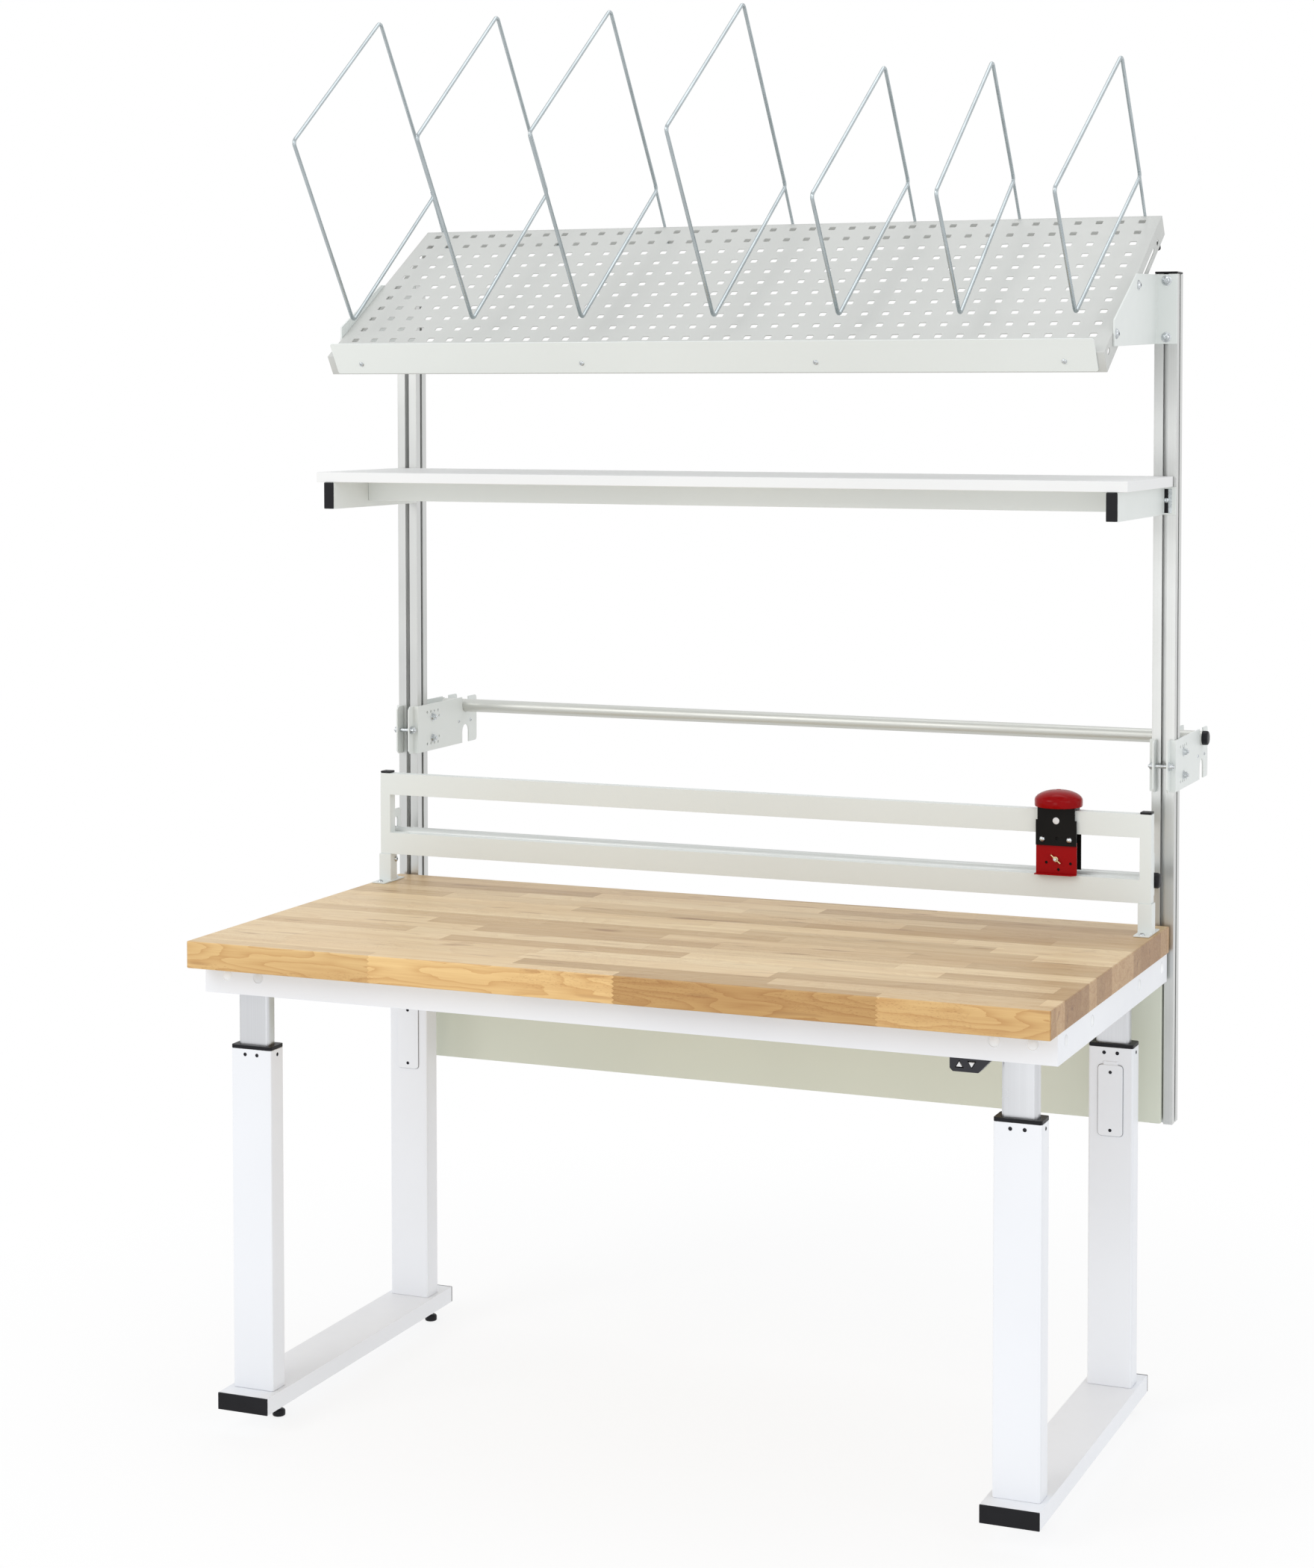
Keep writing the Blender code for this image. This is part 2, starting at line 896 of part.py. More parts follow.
def build_shelf_brackets(grey):
    """Angle brackets: a plate on the upright's face and a wing beside the tray."""
    inner = upright_inner + seat_gap
    bend = inner + bracket_thickness
    outer = upright_x + upright_size / 2
    face = deep(plate_front)
    near_high = on_shelf(bracket_reach_front, bracket_nose_above_sheet)
    near_low = (near_high[0], near_high[1] - bracket_nose)
    far_high = on_shelf(bracket_reach_rear, bracket_above_sheet)
    side = [
        (face + overrun, bracket_bottom),
        (face - bracket_thickness, bracket_bottom),
        near_low,
        near_high,
        far_high,
        (face - bracket_thickness, bracket_top),
        (face + overrun, bracket_top),
    ]
    tip = near_high[0] - overrun
    plan = [
        (inner, tip),
        (bend, tip),
        (bend, face - bracket_thickness),
        (outer, face - bracket_thickness),
        (outer, face),
        (inner, face),
    ]
    bracket = bent_plate("shelf_bracket_right", plan, side, grey)
    mirrored(bracket, "shelf_bracket_left")


def arc_corner(before, corner, after, radius, steps):
    """Points of a round corner between two straight runs."""
    first = (before - corner).normalized()
    second = (after - corner).normalized()
    half_opening = first.angle(second) / 2
    centre = corner + (first + second).normalized() * (radius / sin(half_opening))
    reach = radius / sin(half_opening) * cos(half_opening)
    start = corner + first * reach - centre
    end = corner + second * reach - centre
    return [centre + start.slerp(end, step / steps) * radius for step in range(steps + 1)]


def wire(name, points, closed, radius, look):
    """A bent round wire along points, with flat ends where it is open."""
    path = bpy.data.curves.new(name, "CURVE")
    path.dimensions = "3D"
    path.bevel_depth = radius
    path.bevel_resolution = 1
    path.use_fill_caps = not closed
    spline = path.splines.new("POLY")
    spline.points.add(len(points) - 1)
    for place, point in zip(spline.points, points):
        place.co = (*point, 1)
    spline.use_cyclic_u = closed
    guide = bpy.data.objects.new(name, path)
    bpy.context.scene.collection.objects.link(guide)
    evaluated = guide.evaluated_get(bpy.context.evaluated_depsgraph_get())
    mesh = bpy.data.meshes.new_from_object(evaluated)
    bpy.data.objects.remove(guide)
    bpy.data.curves.remove(path)
    builder = bmesh.new()
    builder.from_mesh(mesh)
    bpy.data.meshes.remove(mesh)
    bmesh.ops.remove_doubles(builder, verts=builder.verts, dist=radius / 100)
    return finish_object(name, builder, look)


def build_divider(number, share, turn, height, zinc):
    """A closed loop of wire with a welded tail that hooks round the rear flange.

    turn is how far the loop's front end stands aside from its tail.
    """
    x = hole_left * (1 - 2 * share)
    tail_radius = wire_radius - seat_gap
    behind = -shelf_rear_margin - tail_radius - seat_gap
    root = Vector((behind - tail_radius, divider_lift))
    run = Vector((cos(divider_tilt), -sin(divider_tilt))) * divider_length
    rise = Vector((sin(divider_lean), cos(divider_lean))) * height
    flat = [root, root + run, root + run + rise, root + rise]
    across = [x, x + turn, x + turn, x]
    corners = [Vector((at, *on_shelf(*point))) for at, point in zip(across, flat)]
    loop = []
    for index, corner in enumerate(corners):
        after = corners[(index + 1) % len(corners)]
        loop += arc_corner(corners[index - 1], corner, after, divider_corner, 2)
    divider = wire(f"divider_{number}", loop, True, wire_radius, zinc)
    bend = acos(1 - tail_radius / divider_corner)
    weld = divider_lift + divider_corner * (1 - sin(bend)) + tail_radius / 2
    hook = -shelf_flange - tail_radius - seat_gap
    inside = shelf_sheet - shelf_rear_margin + tail_radius + seat_gap
    tail = [
        (behind, weld),
        (behind, hook + tail_radius),
        (behind + tail_radius, hook),
        (inside - tail_radius, hook),
        (inside, hook + tail_radius),
        (inside, hook + tail_radius * 4),
    ]
    points = [Vector((x, *on_shelf(*point))) for point in tail]
    round_off(join(divider, wire("tail", points, False, tail_radius, zinc)))


def build_dividers(zinc):
    """Four tall dividers on the left and three short ones on the right."""
    tall = zip(tall_divider_shares, tall_divider_turns)
    short = zip(short_divider_shares, short_divider_turns)
    kinds = [(share, turn, tall_divider_height) for share, turn in tall]
    kinds += [(share, turn, short_divider_height) for share, turn in short]
    for number, (share, turn, height) in enumerate(kinds, start=1):
        build_divider(number, share, turn, height, zinc)


# Laminate shelf


def build_board(laminate):
    """The flat board over the arms."""
    half = worktop_width / 2
    rear = deep(plate_front - board_rear_gap)
    block(
        "laminate_shelf",
        (-half, rear - board_depth, board_top - board_thickness),
        (half, rear, board_top),
        laminate,
        board_edge,
    )


def build_arms(grey):
    """Two arms bolted to the uprights and the crossbar between them."""
    top = board_top - board_thickness - seat_gap
    face = deep(plate_front)
    near = face - board_rear_gap - board_depth
    low_x = upright_x - arm_inset - arm_width / 2
    arm = block(
        "shelf_arm_right",
        (low_x, near, top - arm_height),
        (low_x + arm_width, face - arm_plate_thickness / 2, top),
        grey,
    )
    plate = block(
        "plate",
        (upright_inner, face - arm_plate_thickness, top - arm_plate_height),
        (upright_x + upright_size / 2, face, top - seat_gap),
        grey,
    )
    bore = block(
        "bore",
        (low_x + arm_wall, near - overrun, top - arm_height + arm_wall),
        (low_x + arm_width - arm_wall, face - arm_plate_thickness - arm_wall, top - arm_wall),
        grey,
    )
    cut(join(arm, plate), bore)
    mirrored(arm, "shelf_arm_left")
    reach = low_x - seat_gap
    front_y = deep(upright_front - crossbar_ahead)
    rear_y = front_y + crossbar_depth
    high = top - crossbar_drop
    low = high - crossbar_height
    crossbar = block("crossbar", (-reach, front_y, low), (reach, rear_y, high), grey)
    bore = block(
        "bore",
        (-reach - overrun, front_y + arm_wall, low + arm_wall),
        (reach + overrun, rear_y - arm_wall, high - arm_wall),
        grey,
    )
    cut(crossbar, bore)


# Roll holder


def roll_plate_outline(tip):
    """Seen from the side: a chamfered ear, a notch for the tube, a slot below."""
    steps = 6
    notch = clear_radius(tube_radius, seat_gap, steps)
    slot = lower_slot_width / 2
    axis = deep(tube_from_front)
    rear = deep(overall_depth) - plate_corner
    slot_centre = plate_bottom + lower_slot_height - slot
    return [
        (tip, plate_bottom + ear_chamfer),
        (tip + ear_chamfer, plate_bottom),
        (axis - slot, plate_bottom),
        *arc((axis, slot_centre), slot, 180, 0, steps),
        (axis + slot, plate_bottom),
        *arc((rear, plate_bottom + plate_corner), plate_corner, -90, 0, 2),
        *arc((rear, plate_top - plate_corner), plate_corner, 0, 90, 2),
        (axis + notch, plate_top),
        *arc((axis, tube_height), notch, 0, -180, steps),
        (axis - notch, plate_top),
        (tip + ear_chamfer, plate_top),
        (tip, plate_top - ear_chamfer),
    ]


def build_roll_plate(name, sign, centre, grey):
    """One of a pair of folded plates that clamp an upright between them."""
    face = deep(plate_front)
    near = face - plate_thickness
    tip = near - ear_length
    rear = deep(overall_depth) + overrun
    inner = upright_size / 2 + seat_gap
    outer = inner + plate_thickness
    ear = ear_spacing / 2
    folds = [
        (ear, tip - overrun),
        (ear + plate_thickness, tip - overrun),
        (ear + plate_thickness, near),
        (outer, near),
        (outer, rear),
        (inner, rear),
        (inner, face),
        (ear, face),
    ]
    plan = [(centre + sign * x, y) for x, y in folds]
    plate = bent_plate(name, plan, roll_plate_outline(tip), grey)
    bolt_y = deep(upright_front + upright_size + index_bolt_behind)
    for drop in (index_bolt_upper_drop, index_bolt_lower_drop):
        head = cylinder(
            "bolt",
            (centre + sign * (outer + index_bolt_length / 2), bolt_y, plate_top - drop),
            (1, 0, 0),
            index_bolt_radius,
            index_bolt_length + plate_thickness,
            grey,
            6,
        )
        join(plate, head)
    return plate


def add_clamp_bolt(near_plate, far_plate, sign, centre, grey):
    """The cross bolt, fixed in one plate's ear and passing the other's."""
    y = deep(upright_front - clamp_bolt_ahead)
    z = (plate_top + plate_bottom) / 2
    outside = ear_spacing / 2 + plate_thickness
    far_end = outside + seat_gap + clamp_head_length
    near_end = outside + clamp_head_length - plate_thickness / 2
    length = far_end + near_end
    x = centre + sign * (far_end - near_end) / 2
    hole_radius = clamp_bolt_radius + seat_gap
    hole = cylinder("hole", (centre, y, z), (1, 0, 0), hole_radius, length, grey)
    hole.data.transform(Matrix.Translation((sign * length / 2, 0, 0)))
    cut(far_plate, hole)
    bolt = cylinder("bolt", (x, y, z), (1, 0, 0), clamp_bolt_radius, length, grey)
    for end, inward in ((far_end, -1), (-near_end, 1)):
        middle = centre + sign * (end + inward * clamp_head_length / 2)
        head = cylinder(
            "head", (middle, y, z), (1, 0, 0), clamp_head_radius, clamp_head_length, grey, 6
        )
        join(bolt, head)
    join(near_plate, bolt)


def build_roll_holder(grey, aluminium):
    """Two pairs of plates and the tube that lies in their notches."""
    for side, at in (("left", -1), ("right", 1)):
        centre = at * upright_x
        inner = build_roll_plate(f"roll_plate_inner_{side}", -at, centre, grey)
        outer = build_roll_plate(f"roll_plate_outer_{side}", at, centre, grey)
        add_clamp_bolt(inner, outer, at, centre, grey)
    reach = upright_x + upright_size / 2 + seat_gap + plate_thickness + tube_overhang
    axis = (0, deep(tube_from_front), tube_height)
    bore = tube_radius - tube_wall
    profile = [
        (bore, -reach),
        (tube_radius - tube_edge / 2, -reach),
        (tube_radius, -reach + tube_edge),
        (tube_radius, reach - tube_edge),
        (tube_radius - tube_edge / 2, reach),
        (bore, reach),
        (bore, -reach),
    ]
    tube = turned("roll_tube", profile, axis, (1, 0, 0), aluminium, 16)
    put_origin(round_off(tube), axis)


# Cutting frame


def build_cutting_frame(grey):
    """Posts, two rails and the slotted plates for the rod, welded together."""
    reach = post_x + post_width / 2
    inner = post_x - post_width / 2
    near = deep(post_front)
    far = deep(post_rear)
    frame = block(
        "cutting_frame",
        (-reach, near, worktop_height + seat_gap),
        (reach, far, upper_rail_top),
        grey,
    )
    lower_rail_top = lower_rail_bottom + rail_height
    openings = (
        (worktop_height - overrun, lower_rail_bottom),
        (lower_rail_top, upper_rail_bottom),
    )
    for low, high in openings:
        window = block(
            "window", (-inner, near - overrun, low), (inner, far + overrun, high), grey
        )
        cut(frame, window)
    for low in (lower_rail_bottom, upper_rail_bottom):
        bore = block(
            "bore",
            (-post_x, near + post_wall, low + post_wall),
            (post_x, far - post_wall, low + rail_height - post_wall),
            grey,
        )
        cut(frame, bore)
    for sign in (-1, 1):
        low_x, high_x = sorted((sign * (inner + post_wall), sign * (reach - post_wall)))
        bore = block(
            "bore",
            (low_x, near + post_wall, worktop_height - overrun),
            (high_x, far - post_wall, upper_rail_top + overrun),
            grey,
        )
        cut(frame, bore)
        join(frame, slotted_plate(sign * post_x, far, grey))
    for side, sign in (("left", -1), ("right", 1)):
        build_post_foot(side, sign * post_x, near, far, grey)


def slotted_plate(x, post_face, grey):
    """An upright plate behind a post with a slot that guides the rod."""
    low = x - rod_plate_thickness / 2
    high = x + rod_plate_thickness / 2
    bottom = worktop_height + post_foot_height + rod_plate_above_foot
    top = worktop_height + rod_plate_top
    root = post_face - post_wall / 2
    rear = post_face + rod_plate_depth
    turn = rod_plate_corner
    outline = [
        (root, bottom),
        *arc((rear - turn, bottom + turn), turn, -90, 0, 2),
        *arc((rear - turn, top - turn), turn, 0, 90, 2),
        (root, top),
    ]
    plate = prism("plate", outline, "X", low, high, grey)
    steps = 6
    radius = clear_radius(rod_journal_radius, rod_journal_clearance, steps)
    axis = deep(rod_from_front)
    rest = worktop_height + rod_height
    slot = [
        *arc((axis, rest), radius, 180, 360, steps),
        *arc((axis, rest + rod_lift), radius, 0, 180, steps),
    ]
    cut(plate, prism("slot", slot, "X", low - overrun, high + overrun, grey))
    return plate


def build_post_foot(side, x, near, far, grey):
    """A sleeve round the post's end on a plate that is screwed to the worktop."""
    base = worktop_height + seat_gap
    half = post_width / 2 + seat_gap
    wall = foot_sleeve_wall
    middle = (near + far) / 2
    top = lower_rail_bottom - seat_gap
    foot = block(
        "post_foot_" + side,
        (x - foot_plate_width / 2, middle - foot_plate_length / 2, base),
        (x + foot_plate_width / 2, middle + foot_plate_length / 2, base + foot_plate_thickness),
        grey,
    )
    sleeve = block(
        "sleeve",
        (x - half - wall, near - seat_gap - wall, base + foot_plate_thickness / 2),
        (x + half + wall, far + seat_gap + wall, top),
        grey,
    )
    well = block(
        "well",
        (x - half, near - seat_gap, base - overrun),
        (x + half, far + seat_gap, top + overrun),
        grey,
    )
    cut(join(foot, sleeve), well)


def build_rod(aluminium):
    """The loose rod that holds the sheet down, guided by journals in the slots."""
    axis = (0, deep(rod_from_front), worktop_height + rod_height)
    plate = rod_plate_thickness / 2
    shoulder = post_x - plate - seat_gap
    knob = post_x + plate + seat_gap
    end = knob + rod_knob_length
    half = [
        (rod_radius, shoulder),
        (rod_journal_radius, shoulder),
        (rod_journal_radius, knob),
        (rod_knob_radius, knob),
        (rod_knob_radius, end),
        (0, end),
    ]
    profile = [(radius, -along) for radius, along in reversed(half)] + half
    rod = turned("hold_down_rod", profile, axis, (1, 0, 0), aluminium, 14)
    put_origin(round_off(rod), axis)


# Cutter


def build_cutter(black, red, zinc):
    """A saddle over the upper rail that carries the blade, dome and guard."""
    x = cutter_x
    half = cutter_width / 2
    near = deep(cutter_near)
    far = deep(cutter_far)
    web_low = upper_rail_top + seat_gap
    web_high = web_low + cutter_web
    low = upper_rail_top - cutter_front_drop
    rear_low = upper_rail_top - cutter_rear_drop
    saddle = [
        (near - cutter_plate, low),
        (near - cutter_plate, web_high),
        (far + cutter_plate, web_high),
        (far + cutter_plate, rear_low),
        (far, rear_low),
        (far, web_low),
        (near, web_low),
        (near, low),
    ]
    body = prism("cutter_body", saddle, "X", x - half, x + half, black)
    for sign in (-1, 1):
        low_x, high_x = sorted((x + sign * (half - cutter_shoulder), x + sign * (half + overrun)))
        step = block(
            "step",
            (low_x, near - overrun, upper_rail_top - cutter_shoulder_drop),
            (high_x, far + overrun, web_high + overrun),
            black,
        )
        cut(body, step)
    add_guide_pads(body, x, half - cutter_pad_inset, near, far, black)
    sight = cylinder(
        "sight",
        (x, near - cutter_plate / 2, upper_rail_top - cutter_sight_drop),
        (0, 1, 0),
        cutter_sight_radius,
        cutter_gap + cutter_plate,
        black,
    )
    cut(body, sight)
    add_blade(body, x, near, far, black)
    put_origin(body, (x, deep(post_front), upper_rail_top))
    build_dome(x, web_high + seat_gap, red)
    build_guard(x, near + seat_gap, red, zinc)


def add_guide_pads(body, x, reach, near, far, black):
    """Sliding pads between the saddle's plates and the rail."""
    low = upper_rail_top - cutter_pad_height
    high = upper_rail_top + seat_gap + cutter_web / 2
    sides = (
        (near - cutter_plate / 2, deep(post_front) - seat_gap),
        (deep(post_rear) + seat_gap, far + cutter_plate / 2),
    )
    for low_y, high_y in sides:
        join(body, block("pad", (x - reach, low_y, low), (x + reach, high_y, high), black))


def add_blade(body, x, near, far, black):
    """The round blade on its axle between the saddle's plates."""
    z = upper_rail_top - blade_drop
    start = near + seat_gap + guard_thickness + seat_gap
    end = far + cutter_plate / 2
    spindle = cylinder(
        "spindle",
        (x, (start + end) / 2, z),
        (0, 1, 0),
        blade_axle_radius,
        end - start,
        black,
        8,
    )
    middle = deep((post_front + post_rear) / 2)
    blade = cylinder("blade", (x, middle, z), (0, 1, 0), blade_radius, blade_thickness, black, 20)
    join(body, join(spindle, blade))


def build_dome(x, rim, red):
    """The round knob that the hand lies on."""
    crown = dome_height - dome_rim
    steps = 5
    profile = [(0, rim), (dome_radius - dome_rise, rim), (dome_radius, rim + dome_rise)]
    for step in range(steps):
        angle = pi / 2 * step / steps
        profile.append((dome_radius * cos(angle), rim + dome_rim + crown * sin(angle)))
    profile.append((0, rim + dome_height))
    middle = deep((post_front + post_rear) / 2)
    round_off(turned("cutter_dome", profile, (x, middle, 0), (0, 0, 1), red, 20))


def build_guard(x, near, red, zinc):
    """The red guard plate with its bent lip and stud, and the wing nut on it."""
    half = cutter_width / 2
    far = near + guard_thickness
    bottom = upper_rail_top - guard_bottom_drop
    guard = block(
        "cutter_guard",
        (x - half, near, bottom),
        (x + half, far, upper_rail_top - guard_top_drop),
        red,
    )
    edge = near - guard_lip
    lip_outline = [
        (x - half, far),
        (x - half, edge),
        (x + half - guard_chamfer, edge),
        (x + half, edge + guard_chamfer),
        (x + half, far),
    ]
    lip = prism(
        "lip",
        lip_outline,
        "Z",
        bottom - guard_thickness / 2,
        bottom + guard_thickness / 2,
        red,
    )
    z = upper_rail_top - stud_drop
    stud = cylinder(
        "stud",
        (x, far - (stud_length + guard_thickness) / 2, z),
        (0, 1, 0),
        stud_radius,
        stud_length + guard_thickness,
        red,
        8,
    )
    join(guard, lip, stud)
    build_wing_nut((x, near - seat_gap, z), zinc)


def build_wing_nut(seat, zinc):
    """A hub with two flat wings, threaded on the guard's stud."""
    x, y, z = seat
    nut = cylinder(
        "wing_nut",
        (x, y - wing_hub_length / 2, z),
        (0, 1, 0),
        wing_hub_radius,
        wing_hub_length,
        zinc,
    )
    wings = block(
        "wings",
        (x - wing_span / 2, y - wing_hub_length, z - wing_thickness / 2),
        (x + wing_span / 2, y - wing_hub_length + wing_width, z + wing_thickness / 2),
        zinc,
    )
    join(nut, wings)
    bore = cylinder(
        "bore",
        (x, y - wing_hub_length / 2, z),
        (0, 1, 0),
        stud_radius + seat_gap,
        wing_hub_length + overrun,
        zinc,
        8,
    )
    cut(nut, bore)
    put_origin(nut, seat)
    nut.data.transform(Matrix.Rotation(wing_turn, 4, "Y"))


# Hand switch


def build_switch(black, white):
    """A small housing under the front rail with an up and a down button."""
    top = frame_bottom - seat_gap
    bottom = top - switch_height
    middle = worktop_width / 2 - switch_inset
    left = middle - switch_width / 2
    right = middle + switch_width / 2
    near = deep(frame_front_inset + switch_setback)
    outline = [
        (left, top),
        (left, bottom + switch_near_chamfer),
        (left + switch_near_chamfer, bottom),
        (right - switch_chamfer, bottom),
        (right, top),
    ]
    housing = prism("switch_housing", outline, "Y", near, near + switch_depth, black)
    height = top - button_drop
    half = button_width / 2
    rise = button_height / 2
    grow = 1 + 4 * seat_gap / min(half, rise)
    buttons = (("up", button_up_share, 1), ("down", button_down_share, -1))
    for name, share, sign in buttons:
        centre = left + switch_width * share
        triangle = [(-half, -sign * rise), (half, -sign * rise), (0, sign * rise)]
        pocket = [(centre + a * grow, height + b * grow) for a, b in triangle]
        well = prism("well", pocket, "Y", near - overrun, near + button_depth, black)
        cut(housing, well)
        button = prism(
            "button_" + name,
            moved_outline(triangle, centre, height),
            "Y",
            near - button_stand,
            near + button_depth - button_travel - seat_gap,
            white,
        )
        put_origin(button, (centre, near - button_stand, height))


def build_table():
    """Make every piece of the table."""
    clear_scene()
    white = material("white_powder_coat", (0.86, 0.87, 0.9), 0.4)
    grey = material("light_grey_powder_coat", (0.74, 0.74, 0.71), 0.45)
    panel_grey = material("panel_powder_coat", (0.5, 0.52, 0.48), 0.45)
    black = material("black_plastic", (0.03, 0.03, 0.035), 0.5)
    black_steel = material("black_steel", (0.03, 0.03, 0.03), 0.4)
    aluminium = material("anodised_aluminium", (0.78, 0.79, 0.79), 0.35, 0.9)
    zinc = material("zinc", (0.6, 0.62, 0.63), 0.35, 0.9)
    beech = material("oiled_beech", (0.72, 0.53, 0.33), 0.5)
    laminate = material("white_laminate", (0.82, 0.82, 0.8), 0.4)
    red = material("red_gloss", (0.55, 0.02, 0.03), 0.2)
    for side, sign in (("left", -1), ("right", 1)):
        build_runner(side, sign, white, black)
    build_feet(black)
    build_legs(white, black, aluminium)
    build_top(white, beech)
    build_uprights(aluminium, black)
    build_panel(panel_grey)
    build_perforated_shelf(grey)
    build_lip(grey)
    build_shelf_brackets(grey)
    build_dividers(zinc)
    build_board(laminate)
    build_arms(grey)
    build_roll_holder(grey, aluminium)
    build_cutting_frame(grey)
    build_rod(aluminium)
    build_cutter(black_steel, red, zinc)
    build_switch(black, white)


build_table()
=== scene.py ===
"""Looks of a height-adjustable packing table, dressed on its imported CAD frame."""

from math import cos, pi, radians, sin

import bmesh
import bpy
from mathutils import Matrix, Vector


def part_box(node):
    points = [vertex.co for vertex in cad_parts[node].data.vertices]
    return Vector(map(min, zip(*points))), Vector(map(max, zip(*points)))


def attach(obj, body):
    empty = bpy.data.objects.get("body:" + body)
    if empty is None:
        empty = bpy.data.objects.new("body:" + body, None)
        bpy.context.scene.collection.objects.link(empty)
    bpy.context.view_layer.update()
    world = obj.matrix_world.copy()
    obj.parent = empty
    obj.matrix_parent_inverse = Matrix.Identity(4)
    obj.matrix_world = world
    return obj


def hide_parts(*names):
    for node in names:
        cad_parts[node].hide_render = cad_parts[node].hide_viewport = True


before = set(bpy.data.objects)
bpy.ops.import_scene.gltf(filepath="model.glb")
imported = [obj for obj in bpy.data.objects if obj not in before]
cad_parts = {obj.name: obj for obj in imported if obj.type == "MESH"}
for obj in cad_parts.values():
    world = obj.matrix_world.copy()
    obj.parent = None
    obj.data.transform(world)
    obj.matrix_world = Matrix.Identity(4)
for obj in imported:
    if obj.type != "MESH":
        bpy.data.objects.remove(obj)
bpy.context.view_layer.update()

# Camera: where the photographer stood, level with the flat shelf, with the
# frame shifted down so that the uprights stay straight.
bpy.ops.object.camera_add(
    location=(1.9283, -4.7070, 1.7650),
    rotation=(radians(90 - 2.5), 0, 0.3834),
)
camera = bpy.context.object
camera.data.sensor_fit = "VERTICAL"
camera.data.sensor_height = 36
camera.data.lens = 67.466
camera.data.shift_x = -0.0455
camera.data.shift_y = -0.1676
bpy.context.scene.camera = camera

# Studio: a pale floor, a white background, four large soft lamps and two
# small windows that glossy pieces mirror.
bpy.context.scene.view_settings.view_transform = "Standard"
bpy.ops.mesh.primitive_plane_add(size=40, location=(0, 0, 0))
floor = bpy.context.object
floor.name = "studio_floor"


def studio_paper():
    """Matt white paper that runs over into the background's white far out."""
    paper = bpy.data.materials.new("studio_paper")
    paper.use_nodes = True
    nodes = paper.node_tree.nodes
    links = paper.node_tree.links
    shader = nodes["Principled BSDF"]
    shader.inputs["Base Color"].default_value = (0.9, 0.9, 0.9, 1)
    shader.inputs["Roughness"].default_value = 0.9
    shader.inputs["Specular IOR Level"].default_value = 0.1
    place = nodes.new("ShaderNodeTexCoord")
    middle = nodes.new("ShaderNodeVectorMath")
    middle.operation = "LENGTH"
    links.new(place.outputs["Object"], middle.inputs[0])
    fade = nodes.new("ShaderNodeMapRange")
    fade.interpolation_type = "SMOOTHSTEP"
    fade.inputs["From Min"].default_value = 0.7
    fade.inputs["From Max"].default_value = 1.9
    fade.inputs["To Min"].default_value = 0.77
    links.new(middle.outputs["Value"], fade.inputs["Value"])
    glow = nodes.new("ShaderNodeEmission")
    mix = nodes.new("ShaderNodeMixShader")
    links.new(fade.outputs["Result"], mix.inputs["Fac"])
    links.new(shader.outputs["BSDF"], mix.inputs[1])
    links.new(glow.outputs["Emission"], mix.inputs[2])
    links.new(mix.outputs["Shader"], nodes["Material Output"].inputs["Surface"])
    return paper


floor.data.materials.append(studio_paper())

world = bpy.data.worlds.new("studio")
bpy.context.scene.world = world
world.use_nodes = True
sky_nodes = world.node_tree.nodes
sky_links = world.node_tree.links
soft_light = sky_nodes["Background"]
soft_light.inputs["Color"].default_value = (0.97, 0.98, 1.0, 1)
soft_light.inputs["Strength"].default_value = 0.84
white_wall = sky_nodes.new("ShaderNodeBackground")
white_wall.inputs["Color"].default_value = (1, 1, 1, 1)
white_wall.inputs["Strength"].default_value = 1.0
rays = sky_nodes.new("ShaderNodeLightPath")
seen = sky_nodes.new("ShaderNodeMath")
seen.operation = "MAXIMUM"
sky_links.new(rays.outputs["Is Camera Ray"], seen.inputs[0])
sky_links.new(rays.outputs["Is Glossy Ray"], seen.inputs[1])
seen_through = sky_nodes.new("ShaderNodeMath")
seen_through.operation = "MAXIMUM"
sky_links.new(seen.outputs["Value"], seen_through.inputs[0])
sky_links.new(rays.outputs["Is Transmission Ray"], seen_through.inputs[1])
sky_mix = sky_nodes.new("ShaderNodeMixShader")
sky_links.new(seen_through.outputs["Value"], sky_mix.inputs["Fac"])
sky_links.new(soft_light.outputs["Background"], sky_mix.inputs[1])
sky_links.new(white_wall.outputs["Background"], sky_mix.inputs[2])
sky_links.new(sky_mix.outputs["Shader"], sky_nodes["World Output"].inputs["Surface"])


def add_softbox(name, place, aim, size, energy, colour):
    """A square softbox that looks at a point."""
    bpy.ops.object.light_add(type="AREA", location=place)
    lamp = bpy.context.object
    lamp.name = name
    lamp.data.size = size
    lamp.data.energy = energy
    lamp.data.color = colour
    lamp.data.use_shadow = size > 1
    lamp.rotation_euler = (Vector(aim) - Vector(place)).to_track_quat("-Z", "Y").to_euler()


add_softbox("key_softbox", (-2.6, -5.0, 4.0), (0, 0, 1.1), 3.0, 84, (1.0, 0.99, 0.97))
add_softbox("fill_softbox", (4.6, -2.2, 2.6), (0, 0, 1.0), 2.6, 26, (0.96, 0.98, 1.0))
add_softbox("top_softbox", (0.3, 0.6, 5.2), (0, 0, 0.8), 3.0, 30, (1.0, 1.0, 1.0))
add_softbox("low_softbox", (0.4, -5.2, 0.5), (0, 0, 0.7), 1.6, 16, (0.98, 0.99, 1.0))
add_softbox("right_window", (2.87, -3.42, 3.7), (0.6, 0.1, 1.1), 0.2, 9, (1.0, 1.0, 1.0))
add_softbox("left_window", (-3.6, -0.3, 3.7), (0.6, 0.1, 1.1), 0.2, 9, (1.0, 1.0, 1.0))

# Runners: two flat steel tubes on the floor, welded and powder coated a cool
# white. The legs stand on them.


